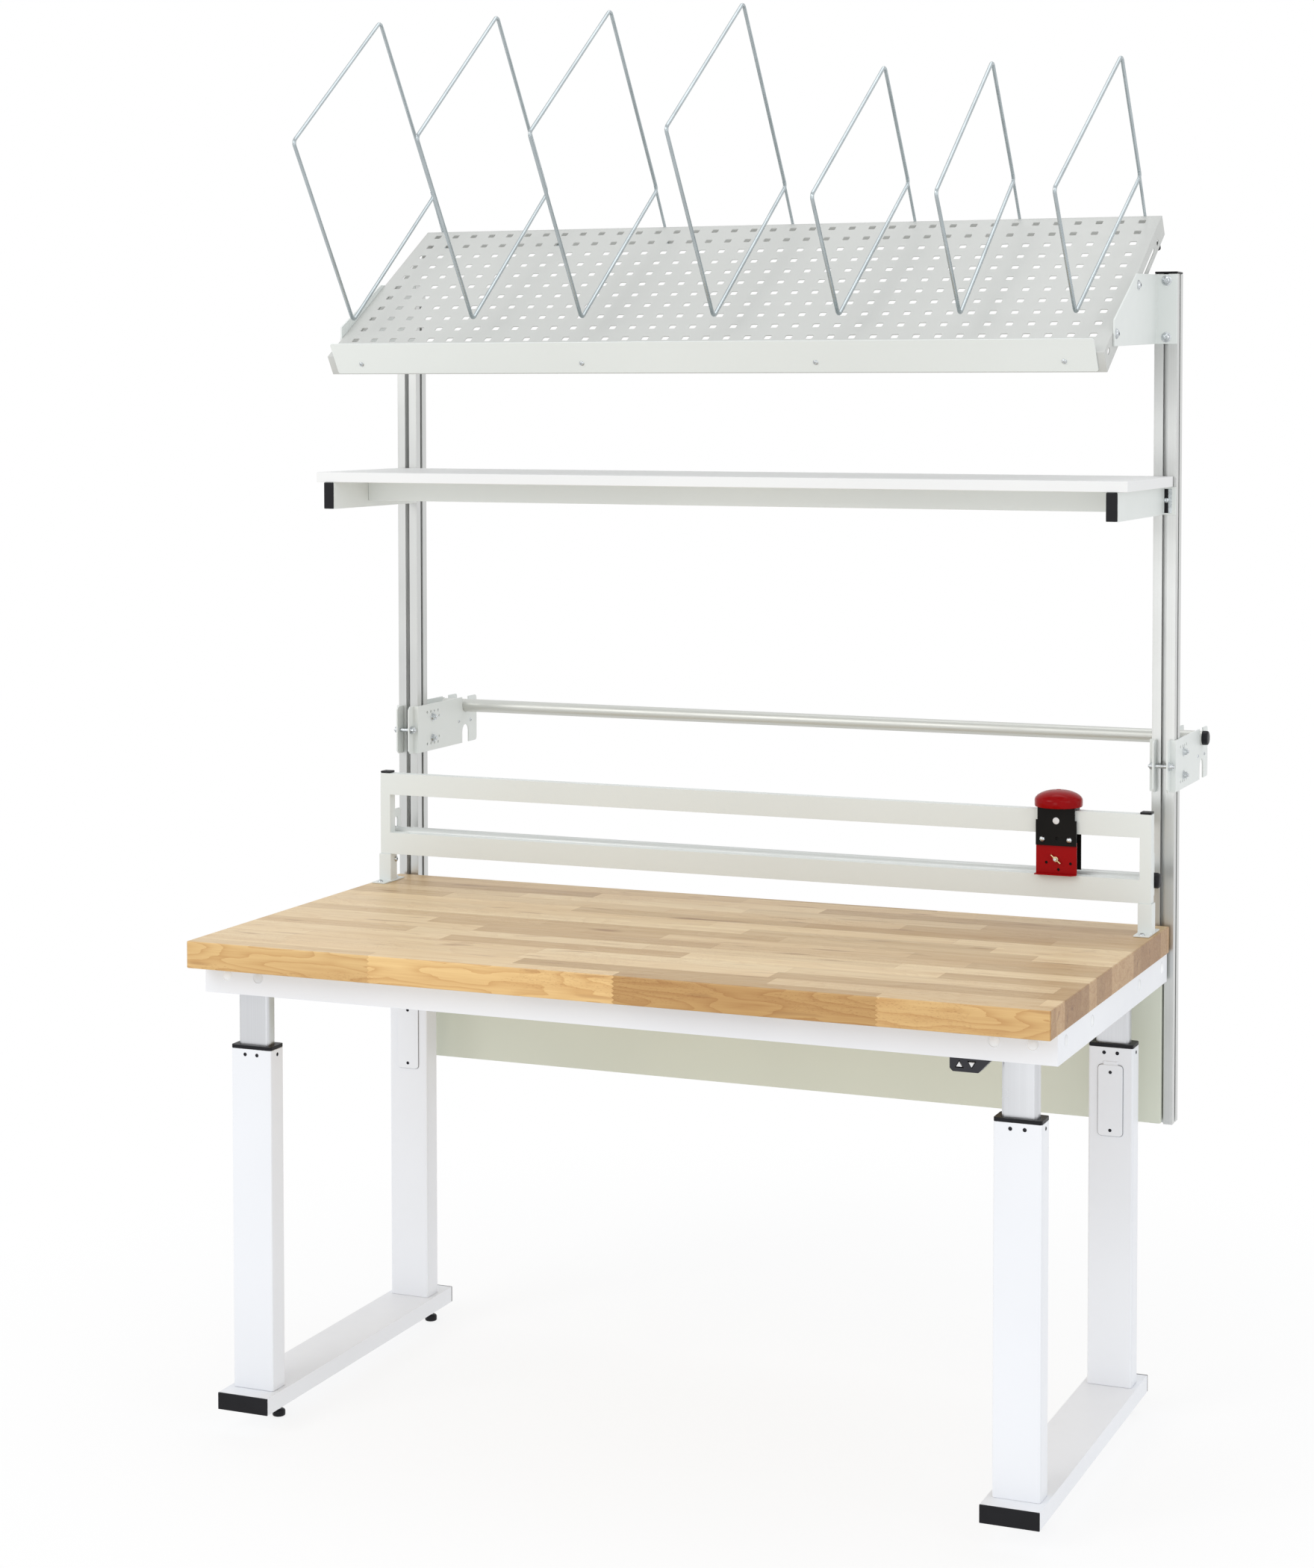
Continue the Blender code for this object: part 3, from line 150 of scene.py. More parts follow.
def new_finish(name, colour, roughness, metallic=0.0):
    """A finish with its plain values set, and the nodes to build on."""
    finish = bpy.data.materials.new(name)
    finish.use_nodes = True
    shader = finish.node_tree.nodes["Principled BSDF"]
    shader.inputs["Base Color"].default_value = (*colour, 1)
    shader.inputs["Roughness"].default_value = roughness
    shader.inputs["Metallic"].default_value = metallic
    return finish, finish.node_tree.nodes, finish.node_tree.links, shader


def object_place(nodes, links, stretch=(1, 1, 1)):
    """Object coordinates, stretched along the three axes."""
    coordinates = nodes.new("ShaderNodeTexCoord")
    mapping = nodes.new("ShaderNodeMapping")
    mapping.inputs["Scale"].default_value = stretch
    links.new(coordinates.outputs["Object"], mapping.inputs["Vector"])
    return mapping.outputs["Vector"]


def add_noise(nodes, links, place, scale, detail=2.0, roughness=0.5):
    """A noise texture at a place in the material."""
    noise = nodes.new("ShaderNodeTexNoise")
    noise.inputs["Scale"].default_value = scale
    noise.inputs["Detail"].default_value = detail
    noise.inputs["Roughness"].default_value = roughness
    links.new(place, noise.inputs["Vector"])
    return noise.outputs["Fac"]


def tone(nodes, links, factor, dark, light, low=0.3, high=0.7):
    """Two tones of a colour, mixed by a factor between two levels."""
    ramp = nodes.new("ShaderNodeValToRGB")
    ramp.color_ramp.elements[0].position = low
    ramp.color_ramp.elements[0].color = (*dark, 1)
    ramp.color_ramp.elements[1].position = high
    ramp.color_ramp.elements[1].color = (*light, 1)
    links.new(factor, ramp.inputs["Fac"])
    return ramp.outputs["Color"]


def vary(nodes, links, factor, low, high):
    """A value that follows a noise between two levels."""
    span = nodes.new("ShaderNodeMapRange")
    span.inputs["From Min"].default_value = 0.3
    span.inputs["From Max"].default_value = 0.7
    span.inputs["To Min"].default_value = low
    span.inputs["To Max"].default_value = high
    links.new(factor, span.inputs["Value"])
    return span.outputs["Result"]


def grain(nodes, links, shader, height, strength, depth):
    """Fine relief of a surface from a height factor."""
    bump = nodes.new("ShaderNodeBump")
    bump.inputs["Strength"].default_value = strength
    bump.inputs["Distance"].default_value = depth
    links.new(height, bump.inputs["Height"])
    links.new(bump.outputs["Normal"], shader.inputs["Normal"])


def powder_coat(name, colour, roughness=0.42, gloss=0.5, peel_depth=0.0004):
    """Baked powder on steel: even in colour, with a fine orange-peel skin."""
    finish, nodes, links, shader = new_finish(name, colour, roughness)
    place = object_place(nodes, links)
    cloud = add_noise(nodes, links, place, 2.2, 3)
    dark = [c * 0.965 for c in colour]
    light = [min(c * 1.02, 1) for c in colour]
    links.new(tone(nodes, links, cloud, dark, light), shader.inputs["Base Color"])
    sheen = add_noise(nodes, links, place, 35, 2)
    links.new(vary(nodes, links, sheen, roughness - 0.04, roughness + 0.06), shader.inputs["Roughness"])
    shader.inputs["Specular IOR Level"].default_value = gloss
    peel = add_noise(nodes, links, place, 620, 1)
    grain(nodes, links, shader, peel, 0.1, peel_depth)
    return finish


def pick_only(piece):
    """Select one piece and nothing else."""
    bpy.ops.object.select_all(action="DESELECT")
    piece.select_set(True)
    bpy.context.view_layer.objects.active = piece


def ease_edges(piece, width, steps=2, limit=30):
    """Break the sharp edges and shade the piece as the light runs over them."""
    pick_only(piece)
    if width:
        bevel = piece.modifiers.new("broken_edges", "BEVEL")
        bevel.width = width
        bevel.segments = steps
        bevel.limit_method = "ANGLE"
        bevel.angle_limit = radians(limit)
        bpy.ops.object.modifier_apply(modifier=bevel.name)
    bpy.ops.object.shade_smooth_by_angle(angle=radians(50))
    even = piece.modifiers.new("even_light", "WEIGHTED_NORMAL")
    even.keep_sharp = True
    bpy.ops.object.modifier_apply(modifier=even.name)
    return piece


def worked_copy(node):
    """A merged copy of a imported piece, ready to be worked on."""
    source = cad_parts[node]
    piece = bpy.data.objects.new(node + "_made", source.data.copy())
    bpy.context.scene.collection.objects.link(piece)
    pick_only(piece)
    bpy.ops.object.mode_set(mode="EDIT")
    bpy.ops.mesh.select_all(action="SELECT")
    bpy.ops.mesh.customdata_custom_splitnormals_clear()
    bpy.ops.mesh.remove_doubles(threshold=0.00002)
    bpy.ops.mesh.dissolve_limited(angle_limit=radians(1))
    bpy.ops.object.mode_set(mode="OBJECT")
    return piece


def dress(piece, finish, slot, body, *nodes):
    """Give a piece its finish and body, and the nodes that it stands for."""
    piece.data.materials.clear()
    piece.data.materials.append(finish)
    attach(piece, body)
    if nodes:
        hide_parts(*nodes)
    return piece


white_coat = powder_coat("cool_white_coat", (0.795, 0.81, 0.84), 0.36)
for side in ("left", "right"):
    runner = ease_edges(worked_copy("runner_" + side), 0.0012)
    dress(runner, white_coat, "white_paint", "base", "runner_" + side)

# Runner caps: black moulded plugs with an eroded grain, pressed into the open
# ends of the runners.


def moulded(name, colour, roughness=0.5, gloss=0.5, grain_size=900):
    """Injection-moulded plastic with a fine eroded grain."""
    finish, nodes, links, shader = new_finish(name, colour, roughness)
    place = object_place(nodes, links)
    cloud = add_noise(nodes, links, place, 14, 3)
    dark = [c * 0.8 for c in colour]
    light = [min(c * 1.25, 1) for c in colour]
    links.new(tone(nodes, links, cloud, dark, light), shader.inputs["Base Color"])
    links.new(vary(nodes, links, cloud, roughness - 0.07, roughness + 0.07), shader.inputs["Roughness"])
    shader.inputs["Specular IOR Level"].default_value = gloss
    grit = add_noise(nodes, links, place, grain_size, 2)
    grain(nodes, links, shader, grit, 0.15, 0.0003)
    return finish


black_plastic = moulded("black_plastic", (0.007, 0.007, 0.009), 0.4, 0.2)
for side in ("left", "right"):
    for end in ("front", "rear"):
        name = f"runner_cap_{end}_{side}"
        cap = ease_edges(worked_copy(name), 0.001)
        dress(cap, black_plastic, "black_plastic", "base", name)

# Levelling feet: a glass-filled pad with a rubber sole on a threaded stem. A
# thin nut under the runner locks it.


def turn_piece(name, outline, place, sides=32):
    """Turn a side view of radii and heights round an upright axis, and close its ends."""
    has_bore = outline[0][0] and outline[-1][0]
    if outline[-1][0] and not has_bore:
        outline = outline + [(0, outline[-1][1])]
    elif outline[0][0] and not has_bore:
        outline = [(0, outline[0][1])] + outline
    turns = [2 * pi * step / sides for step in range(sides)]
    points = []
    rings = []
    for radius, height in outline:
        if radius:
            rings.append([len(points) + step for step in range(sides)])
            points += [(radius * cos(turn), radius * sin(turn), height) for turn in turns]
        else:
            rings.append([len(points)] * sides)
            points.append((0, 0, height))
    if has_bore:
        rings.append(rings[0])
    faces = []
    for near, far in zip(rings, rings[1:]):
        for step in range(sides):
            corners = (near[step], far[step], far[step - 1], near[step - 1])
            faces.append(list(dict.fromkeys(corners)))
    mesh = bpy.data.meshes.new(name)
    mesh.from_pydata(points, [], faces)
    piece = bpy.data.objects.new(name, mesh)
    bpy.context.scene.collection.objects.link(piece)
    pick_only(piece)
    bpy.ops.object.mode_set(mode="EDIT")
    bpy.ops.mesh.select_all(action="SELECT")
    bpy.ops.mesh.normals_make_consistent(inside=False)
    bpy.ops.object.mode_set(mode="OBJECT")
    piece.data.transform(Matrix.Translation(place))
    bpy.ops.object.shade_smooth_by_angle(angle=radians(40))
    return piece


def plated(name, colour, roughness, marks=0.28, scale=90):
    """Bright plated steel with cloudy sheen and fine handling marks."""
    finish, nodes, links, shader = new_finish(name, colour, roughness, 1.0)
    place = object_place(nodes, links)
    cloud = add_noise(nodes, links, place, scale, 3)
    dark = [c * (1 - marks) for c in colour]
    light = [min(c * (1 + marks * 0.4), 1) for c in colour]
    links.new(tone(nodes, links, cloud, dark, light), shader.inputs["Base Color"])
    wear = add_noise(nodes, links, place, 420, 2)
    links.new(vary(nodes, links, wear, roughness - 0.08, roughness + 0.1), shader.inputs["Roughness"])
    grain(nodes, links, shader, wear, marks * 0.4, 0.0002)
    return finish


bright_zinc = plated("bright_zinc", (0.62, 0.65, 0.67), 0.26)
pad_outline = [
    (0, 0),
    (0.0100, 0),
    (0.0108, 0.0006),
    (0.0112, 0.0022),
    (0.0112, 0.0074),
    (0.0106, 0.0094),
    (0.0088, 0.0110),
    (0.0060, 0.0118),
    (0, 0.0118),
]
stem_outline = [(0, 0.0117), (0.0042, 0.0117), (0.0042, 0.0148)]
thread_pitch = 0.0036
for turn in range(9):
    rise = turn * thread_pitch
    stem_outline += [(0.0034, 0.0152 + rise), (0.0040, 0.0170 + rise)]
stem_outline += [(0.0036, 0.0500), (0, 0.0500)]
nut_outline = [
    (0.0041, 0.0300),
    (0.0076, 0.0300),
    (0.0082, 0.0308),
    (0.0082, 0.0352),
    (0.0076, 0.0359),
    (0.0041, 0.0359),
]
for side in ("left", "right"):
    for end in ("front", "rear"):
        name = f"foot_{end}_{side}"
        low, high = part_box(name)
        place = ((low.x + high.x) / 2, (low.y + high.y) / 2, 0)
        pad = turn_piece(name + "_pad", pad_outline, place, 32)
        dress(pad, black_plastic, "black_plastic", name, name)
        stem = turn_piece(name + "_stem", stem_outline, place, 24)
        dress(stem, bright_zinc, "zinc", name)
        lock_nut = turn_piece("lock_nut_" + name, nut_outline, place, 6)
        dress(lock_nut, bright_zinc, "zinc", "base")

# Legs: rectangular steel tubes, welded on the runners. The rear legs carry the
# screwed covers over the lift drive.


def domed_screw(radius, height, socket):
    """A button-head screw with a hexagon socket, pointing up."""
    outline = [
        (0, height * 0.3),
        (socket, height * 0.3),
        (socket, height * 0.96),
        (socket * 1.25, height),
        (radius * 0.72, height * 0.82),
        (radius * 0.93, height * 0.45),
        (radius, height * 0.12),
        (radius, 0),
    ]
    screw = turn_piece("screw", outline, (0, 0, 0), 24)
    for vertex in screw.data.vertices:
        flat = vertex.co.xy
        if abs(flat.length - socket) < socket / 50:
            turn = flat.angle_signed(Vector((1, 0))) % (pi / 3) - pi / 6
            vertex.co.xy = flat * (cos(pi / 6) / cos(turn)) * 1.06
    return screw


def set_out(name, master, spots):
    """Copies of a part at places and facing directions, joined into one piece."""
    copies = []
    for place, facing in spots:
        copy = bpy.data.objects.new(name, master.data.copy())
        bpy.context.scene.collection.objects.link(copy)
        turn = Vector(facing).to_track_quat("Z", "Y").to_matrix().to_4x4()
        copy.data.transform(Matrix.Translation(place) @ turn)
        copies.append(copy)
    mesh = master.data
    bpy.data.objects.remove(master)
    bpy.data.meshes.remove(mesh)
    return join_pieces(name, copies)


def join_pieces(name, pieces):
    """Pieces of one kind joined into a single object."""
    bpy.ops.object.select_all(action="DESELECT")
    for piece in pieces:
        piece.select_set(True)
    bpy.context.view_layer.objects.active = pieces[0]
    if len(pieces) > 1:
        bpy.ops.object.join()
    pieces[0].name = name
    return pieces[0]


def add_block(name, low, high):
    """A box between two corners."""
    bpy.ops.object.select_all(action="DESELECT")
    bpy.ops.mesh.primitive_cube_add(size=1, location=(0, 0, 0))
    block = bpy.context.object
    block.name = name
    size = Vector(high) - Vector(low)
    middle = (Vector(high) + Vector(low)) / 2
    block.data.transform(Matrix.Translation(middle) @ Matrix.Diagonal((*size, 1)))
    return block


def select_edges(piece, wanted):
    """Select the edges of a piece for which a test of their two ends holds."""
    pick_only(piece)
    bpy.ops.object.mode_set(mode="EDIT")
    bpy.ops.mesh.select_mode(type="EDGE")
    bpy.ops.mesh.select_all(action="DESELECT")
    work = bmesh.from_edit_mesh(piece.data)
    for edge in work.edges:
        edge.select = wanted(edge)
    bmesh.update_edit_mesh(piece.data)


# Dark grey for the strips behind the rear legs' covers: painted shade in the gap round each cover.
gap_shade_grey = moulded("gap_shade_grey", (0.22, 0.22, 0.23), 0.6)
burnished = plated("burnished_steel", (0.035, 0.035, 0.04), 0.45)
leg_width = 0.078
leg_depth = 0.042
collar_screw_level = 0.641
collar_screw_spacing = 0.023
shade_strip_width = 0.0448
for side in ("left", "right"):
    for end in ("front", "rear"):
        name = f"leg_{end}_{side}"
        leg = ease_edges(worked_copy(name), 0.0018, 3)
        dress(leg, white_coat, "white_paint", "base", name)
        low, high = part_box("leg_front_" + side)
        middle = (low.x + high.x) / 2
        face = low.y if end == "front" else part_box(name)[1].y - leg_depth
        spots = [
            ((middle + turn * collar_screw_spacing / 2, face, collar_screw_level), (0, -1, 0))
            for turn in (-1, 1)
        ]
        spots += [
            ((middle + turn * leg_width / 2, face + leg_depth / 2, collar_screw_level), (turn, 0, 0))
            for turn in (-1, 1)
        ]
        screws = set_out(f"leg_screws_{end}_{side}", domed_screw(0.0032, 0.0009, 0.0013), spots)
        dress(screws, burnished, "black_steel", "base")
    low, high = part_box("leg_rear_" + side)
    middle = (low.x + high.x) / 2
    # A dark grey strip set just behind each cover's rim shows round it as a thin dark line: painted shade for
    # the gap under the cover.
    shade_strip = add_block(
        "cover_shade_strip_" + side,
        (middle - shade_strip_width / 2, low.y + 0.0019, 0.4975),
        (middle + shade_strip_width / 2, low.y + 0.0027, 0.6212),
    )
    select_edges(shade_strip, lambda edge: abs((edge.verts[1].co - edge.verts[0].co).normalized().y) > 0.9)
    bpy.ops.mesh.bevel(offset=0.0068, segments=4, affect="EDGES")
    bpy.ops.object.mode_set(mode="OBJECT")
    dress(shade_strip, gap_shade_grey, "black_plastic", "base")
    spots = [((middle, low.y, level), (0, -1, 0)) for level in (0.608, 0.508)]
    screws = set_out("cover_screws_" + side, domed_screw(0.0029, 0.0009, 0.0012), spots)
    dress(screws, burnished, "black_steel", "base")

# Bushes: black moulded glide collars that close the leg tubes round the
# columns. Each is held by the four small screws below it.
for side in ("left", "right"):
    for end in ("front", "rear"):
        name = f"bush_{end}_{side}"
        collar = ease_edges(worked_copy(name), 0.0006)
        dress(collar, black_plastic, "black_plastic", "base", name)

# Columns: extruded aluminium profiles with round corners, satin anodised. They
# slide in the legs and carry the top frame.


def anodised(name, colour, roughness, along, metallic=1.0):
    """Satin anodised aluminium with faint die lines along the extrusion."""
    finish, nodes, links, shader = new_finish(name, colour, roughness, metallic)
    lines = object_place(nodes, links, [0.6 if axis == along else 900 for axis in "xyz"])
    streak = add_noise(nodes, links, lines, 1.0, 3)
    dark = [c * 0.96 for c in colour]
    light = [min(c * 1.02, 1) for c in colour]
    links.new(tone(nodes, links, streak, dark, light), shader.inputs["Base Color"])
    cloud = add_noise(nodes, links, object_place(nodes, links), 9, 3)
    links.new(vary(nodes, links, cloud, roughness - 0.05, roughness + 0.07), shader.inputs["Roughness"])
    grain(nodes, links, shader, streak, 0.04, 0.0001)
    return finish


column_finish = anodised("column_anodised", (0.64, 0.65, 0.67), 0.3, "z")
for side in ("left", "right"):
    for end in ("front", "rear"):
        name = f"column_{end}_{side}"
        column = ease_edges(worked_copy(name), 0)
        dress(column, column_finish, "aluminium", "top", name)

# Top frame: flat channels welded into a rectangle under the worktop. Flush
# plastic plugs close its round access holes.
channels = ease_edges(worked_copy("top_frame"), 0.0015, 2)
dress(channels, white_coat, "white_paint", "top", "top_frame")
plug_outline = [
    (0, 0.0006),
    (0.0078, 0.0006),
    (0.0084, 0.0001),
    (0.0088, 0.0009),
    (0.0094, 0.0007),
    (0.0096, 0),
]
plug_level = 0.78
low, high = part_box("top_frame")
spots = [((x, low.y, plug_level), (0, -1, 0)) for x in (-0.704, -0.644, 0.646, 0.707)]
for way, x in ((-1, low.x), (1, high.x)):
    spots += [((x, y, plug_level), (way, 0, 0)) for y in (-0.4045, -0.2505, 0.0505, 0.2075)]
plugs = set_out("frame_plugs", turn_piece("plug", plug_outline, (0, 0, 0), 32), spots)
white_moulded = moulded("white_moulded", (0.78, 0.79, 0.81), 0.4)
dress(plugs, white_moulded, "white_plastic", "top")

# Worktop: beech staves glued in blocks, planed and oiled. Its front edge shows
# the blocks' finger joints.


def number(nodes, links, operation, first, second=0.0):
    """One step of arithmetic on sockets or plain numbers."""
    step = nodes.new("ShaderNodeMath")
    step.operation = operation
    for slot, value in enumerate((first, second)):
        if isinstance(value, (int, float)):
            step.inputs[slot].default_value = value
        else:
            links.new(value, step.inputs[slot])
    return step.outputs["Value"]


def random_of(nodes, links, seed, salt):
    """A steady random number for a whole-number seed."""
    pick = nodes.new("ShaderNodeTexWhiteNoise")
    pick.noise_dimensions = "1D"
    links.new(number(nodes, links, "ADD", seed, salt), pick.inputs["W"])
    return pick.outputs["Value"]


def oiled_beech():
    """Block-glued beech whose rings run through the whole thickness."""
    stave_width = 0.047
    block_length = 0.44
    finish, nodes, links, shader = new_finish("oiled_beech", (0.6, 0.42, 0.26), 0.5)

    def add(first, second):
        """The sum of two values."""
        return number(nodes, links, "ADD", first, second)

    def times(first, second):
        """The product of two values."""
        return number(nodes, links, "MULTIPLY", first, second)

    def darker(colour, amount, shade_colour):
        """The colour with a darker one laid over it by an amount."""
        layer = nodes.new("ShaderNodeMix")
        layer.data_type = "RGBA"
        layer.blend_type = "MULTIPLY"
        links.new(amount, layer.inputs["Factor"])
        links.new(colour, layer.inputs["A"])
        layer.inputs["B"].default_value = (*shade_colour, 1)
        return layer.outputs["Result"]

    coordinates = nodes.new("ShaderNodeTexCoord")
    split = nodes.new("ShaderNodeSeparateXYZ")
    links.new(coordinates.outputs["Object"], split.inputs["Vector"])
    x, y, z = (split.outputs[axis] for axis in "XYZ")
    facing = nodes.new("ShaderNodeNewGeometry")
    tilt = nodes.new("ShaderNodeSeparateXYZ")
    links.new(facing.outputs["Normal"], tilt.inputs["Vector"])
    end_face = number(nodes, links, "ABSOLUTE", tilt.outputs["X"])
    long_face = number(nodes, links, "ABSOLUTE", tilt.outputs["Y"])

    # Blocks: staves across the depth, cut to lengths with finger-jointed ends.
    stave = number(nodes, links, "FLOOR", times(y, 1 / stave_width))
    shift = random_of(nodes, links, stave, 3.7)
    teeth = number(nodes, links, "PINGPONG", z, 0.0036)
    run = add(add(times(x, 1 / block_length), shift), times(teeth, 3.0))
    lot = number(nodes, links, "FLOOR", run)
    seed = add(times(stave, 31.0), lot)
    shade = random_of(nodes, links, seed, 0.31)
    hue = random_of(nodes, links, seed, 17.9)
    cut = random_of(nodes, links, seed, 5.3)

    # Growth rings: level lines of a field that is drawn out along the stave.
    block_place = nodes.new("ShaderNodeCombineXYZ")
    links.new(add(times(x, 3.4), times(shade, 37.0)), block_place.inputs["X"])
    links.new(add(times(y, 13.0), times(cut, 23.0)), block_place.inputs["Y"])
    links.new(add(times(z, 19.0), times(hue, 11.0)), block_place.inputs["Z"])
    field = add_noise(nodes, links, block_place.outputs["Vector"], 1.0, 2, 0.35)
    wobble = add_noise(nodes, links, object_place(nodes, links, (30, 160, 160)), 1.0, 2)
    rings = number(nodes, links, "FRACT", add(times(field, 15.0), times(wobble, 0.5)))
    rings = number(nodes, links, "POWER", rings, 2.6)

    # Broad streaks, fine fibres, dark ray flecks and a few pin knots.
    streak = add_noise(nodes, links, object_place(nodes, links, (1.3, 46, 46)), 1.0, 3)
    fibre = add_noise(nodes, links, object_place(nodes, links, (9, 420, 420)), 1.0, 3, 0.6)
    fleck = add_noise(nodes, links, object_place(nodes, links, (180, 900, 900)), 1.0, 1)
    fleck_patch = add_noise(nodes, links, object_place(nodes, links, (3, 16, 16)), 1.0, 1)
    flecks = times(
        number(nodes, links, "GREATER_THAN", fleck, 0.63),
        number(nodes, links, "GREATER_THAN", fleck_patch, 0.53),
    )
    knot = add_noise(nodes, links, object_place(nodes, links, (11, 60, 60)), 1.0, 0)
    knots = vary(nodes, links, add(knot, -0.42), 0.0, 1.6)

    # The tone of the blocks falls off towards the right end of the top.
    tan = add(shade, times(x, -0.22))
    base = tone(nodes, links, tan, (0.520, 0.365, 0.185), (0.800, 0.650, 0.410), -0.2, 0.85)
    colour = darker(base, times(hue, 0.45), (1.0, 0.93, 0.84))
    contrast = add(0.22, add(times(long_face, 0.36), times(end_face, 0.20)))
    colour = darker(colour, times(rings, contrast), (0.70, 0.53, 0.37))
    streaks = vary(nodes, links, streak, 0.0, 0.6)
    colour = darker(colour, streaks, (0.80, 0.70, 0.60))
    fibres = times(add(fibre, -0.35), 1.0)
    colour = darker(colour, fibres, (0.78, 0.68, 0.58))
    colour = darker(colour, times(flecks, 0.38), (0.62, 0.48, 0.38))
    colour = darker(colour, knots, (0.42, 0.26, 0.17))

    # Glue lines between the staves and at the ends of the blocks.
    side = number(nodes, links, "FRACT", times(y, 1 / stave_width))
    side = number(nodes, links, "ABSOLUTE", add(side, -0.5))
    seam = number(nodes, links, "GREATER_THAN", side, 0.494)
    butt = number(nodes, links, "FRACT", run)
    butt = number(nodes, links, "ABSOLUTE", add(butt, -0.5))
    butt = number(nodes, links, "GREATER_THAN", butt, 0.4990)
    glue = number(nodes, links, "MAXIMUM", seam, butt)
    colour = darker(colour, times(glue, 0.45), (0.68, 0.55, 0.44))

    # The front and back edges are tinted a deeper orange than the face, and the end faces, whose end grain
    # takes up more oil, are darker and browner.
    colour = darker(colour, times(long_face, 0.85), (0.99, 0.84, 0.56))
    colour = darker(colour, times(end_face, 0.9), (0.60, 0.48, 0.38))
    links.new(colour, shader.inputs["Base Color"])
    links.new(vary(nodes, links, fibre, 0.36, 0.52), shader.inputs["Roughness"])
    relief = number(nodes, links, "SUBTRACT", fibre, times(glue, 1.5))
    grain(nodes, links, shader, relief, 0.12, 0.0003)
    return finish


low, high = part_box("worktop")
worktop = ease_edges(add_block("worktop_made", low, high), 0.0022, 4)
dress(worktop, oiled_beech(), "beech", "top", "worktop")

# Hand switch: a chamfered black housing screwed under the front rail, with two
# white press buttons for up and down.
dark_moulded = moulded("dark_moulded", (0.020, 0.020, 0.027), 0.36, 0.35)
switch = ease_edges(worked_copy("switch_housing"), 0.0012, 3)
dress(switch, dark_moulded, "black_plastic", "top", "switch_housing")
for name in ("button_up", "button_down"):
    button = worked_copy(name)
    low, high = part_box(name)
    middle = (low + high) / 2
    smaller = Matrix.Diagonal((0.84, 1, 0.84, 1))
    button.data.transform(Matrix.Translation(middle) @ smaller @ Matrix.Translation(-middle))
    ease_edges(button, 0.0005, 2)
    dress(button, white_moulded, "white_plastic", name, name)

# Uprights: square aluminium profiles with a T-slot in every face, anodised
# clear. Black caps close their tops.
profile_finish = anodised("profile_anodised", (0.60, 0.61, 0.60), 0.34, "z")
for side in ("left", "right"):
    name = "upright_" + side
    upright = ease_edges(worked_copy(name), 0.0005, 2)
    dress(upright, profile_finish, "aluminium", "top", name)
    name = "upright_cap_" + side
    cap = ease_edges(worked_copy(name), 0.0012, 3)
    dress(cap, black_plastic, "black_plastic", "top", name)

# Modesty panel: a shallow tray of folded sheet steel behind the rear legs,
# powder coated a greenish light grey.
panel_coat = powder_coat("greenish_coat", (0.69, 0.715, 0.61), 0.44)
panel = ease_edges(worked_copy("modesty_panel"), 0.0005, 2)
dress(panel, panel_coat, "panel_paint", "top", "modesty_panel")

# Perforated shelf: punched and folded sheet steel, powder coated grey. Each
# side flange has a long slot and two short ones for the brackets' bolts.
slope = radians(32)
slope_turn = Matrix.Translation((0, 0.2921, 2.0612)) @ Matrix.Rotation(slope, 4, "X")


def on_slope(x, along, above):
    """A place given on the sloped sheet: down the slope, and square above it."""
    return slope_turn @ Vector((x, -along, above))


def add_rod(name, start, end, radius, sides=24):
    """A round bar between two points."""
    start = Vector(start)
    end = Vector(end)
    bpy.ops.object.select_all(action="DESELECT")
    bpy.ops.mesh.primitive_cylinder_add(
        vertices=sides, radius=radius, depth=(end - start).length, location=(0, 0, 0)
    )
    rod = bpy.context.object
    rod.name = name
    turn = (end - start).to_track_quat("Z", "Y").to_matrix().to_4x4()
    rod.data.transform(Matrix.Translation((start + end) / 2) @ turn)
    return rod


def drill(piece, tool):
    """Cut a tool's shape out of a piece."""
    pick_only(piece)
    cut = piece.modifiers.new("cut", "BOOLEAN")
    cut.operation = "DIFFERENCE"
    cut.solver = "EXACT"
    cut.object = tool
    bpy.ops.object.modifier_apply(modifier=cut.name)
    mesh = tool.data
    bpy.data.objects.remove(tool)
    bpy.data.meshes.remove(mesh)
    return piece


sheet = worked_copy("perforated_shelf")
across_sheet = slope_turn.to_3x3() @ Vector((0, 0, 1))


def is_hole_corner(edge):
    """Short edges square to the sheet, away from its rim."""
    run = edge.verts[1].co - edge.verts[0].co
    if not 0.001 < run.length < 0.002 or abs(run.normalized().dot(across_sheet)) < 0.99:
        return False
    square = len(edge.link_faces) == 2 and abs(edge.calc_face_angle_signed(0)) > 1.4
    return square and abs(edge.verts[0].co.x) < 0.7


select_edges(sheet, is_hole_corner)
bpy.ops.mesh.bevel(offset=0.0022, segments=2, affect="EDGES")
bpy.ops.object.mode_set(mode="OBJECT")
flange_x = 0.7145
flange_slots = (
    (0.062, 0.33, -0.0215, 0.004),
    (0.0295, 0.0345, -0.0245, 0.0046),
    (0.408, 0.414, -0.0125, 0.0046),
)
for way in (-1, 1):
    from_x = way * flange_x - 0.006
    to_x = way * flange_x + 0.006
    for start, end, above, radius in flange_slots:
        slot_tool = add_block("slot", (from_x, -end, above - radius), (to_x, -start, above + radius))
        slot_tool.data.transform(slope_turn)
        drill(sheet, slot_tool)
        for at in (start, end):
            drill(sheet, add_rod("round", on_slope(from_x, at, above), on_slope(to_x, at, above), radius, 16))


def is_outer_fold(edge):
    """Long edges along the sheet's folds."""
    run = edge.verts[1].co - edge.verts[0].co
    return run.length > 0.3 and len(edge.link_faces) == 2 and abs(edge.calc_face_angle_signed(0)) > 1.2


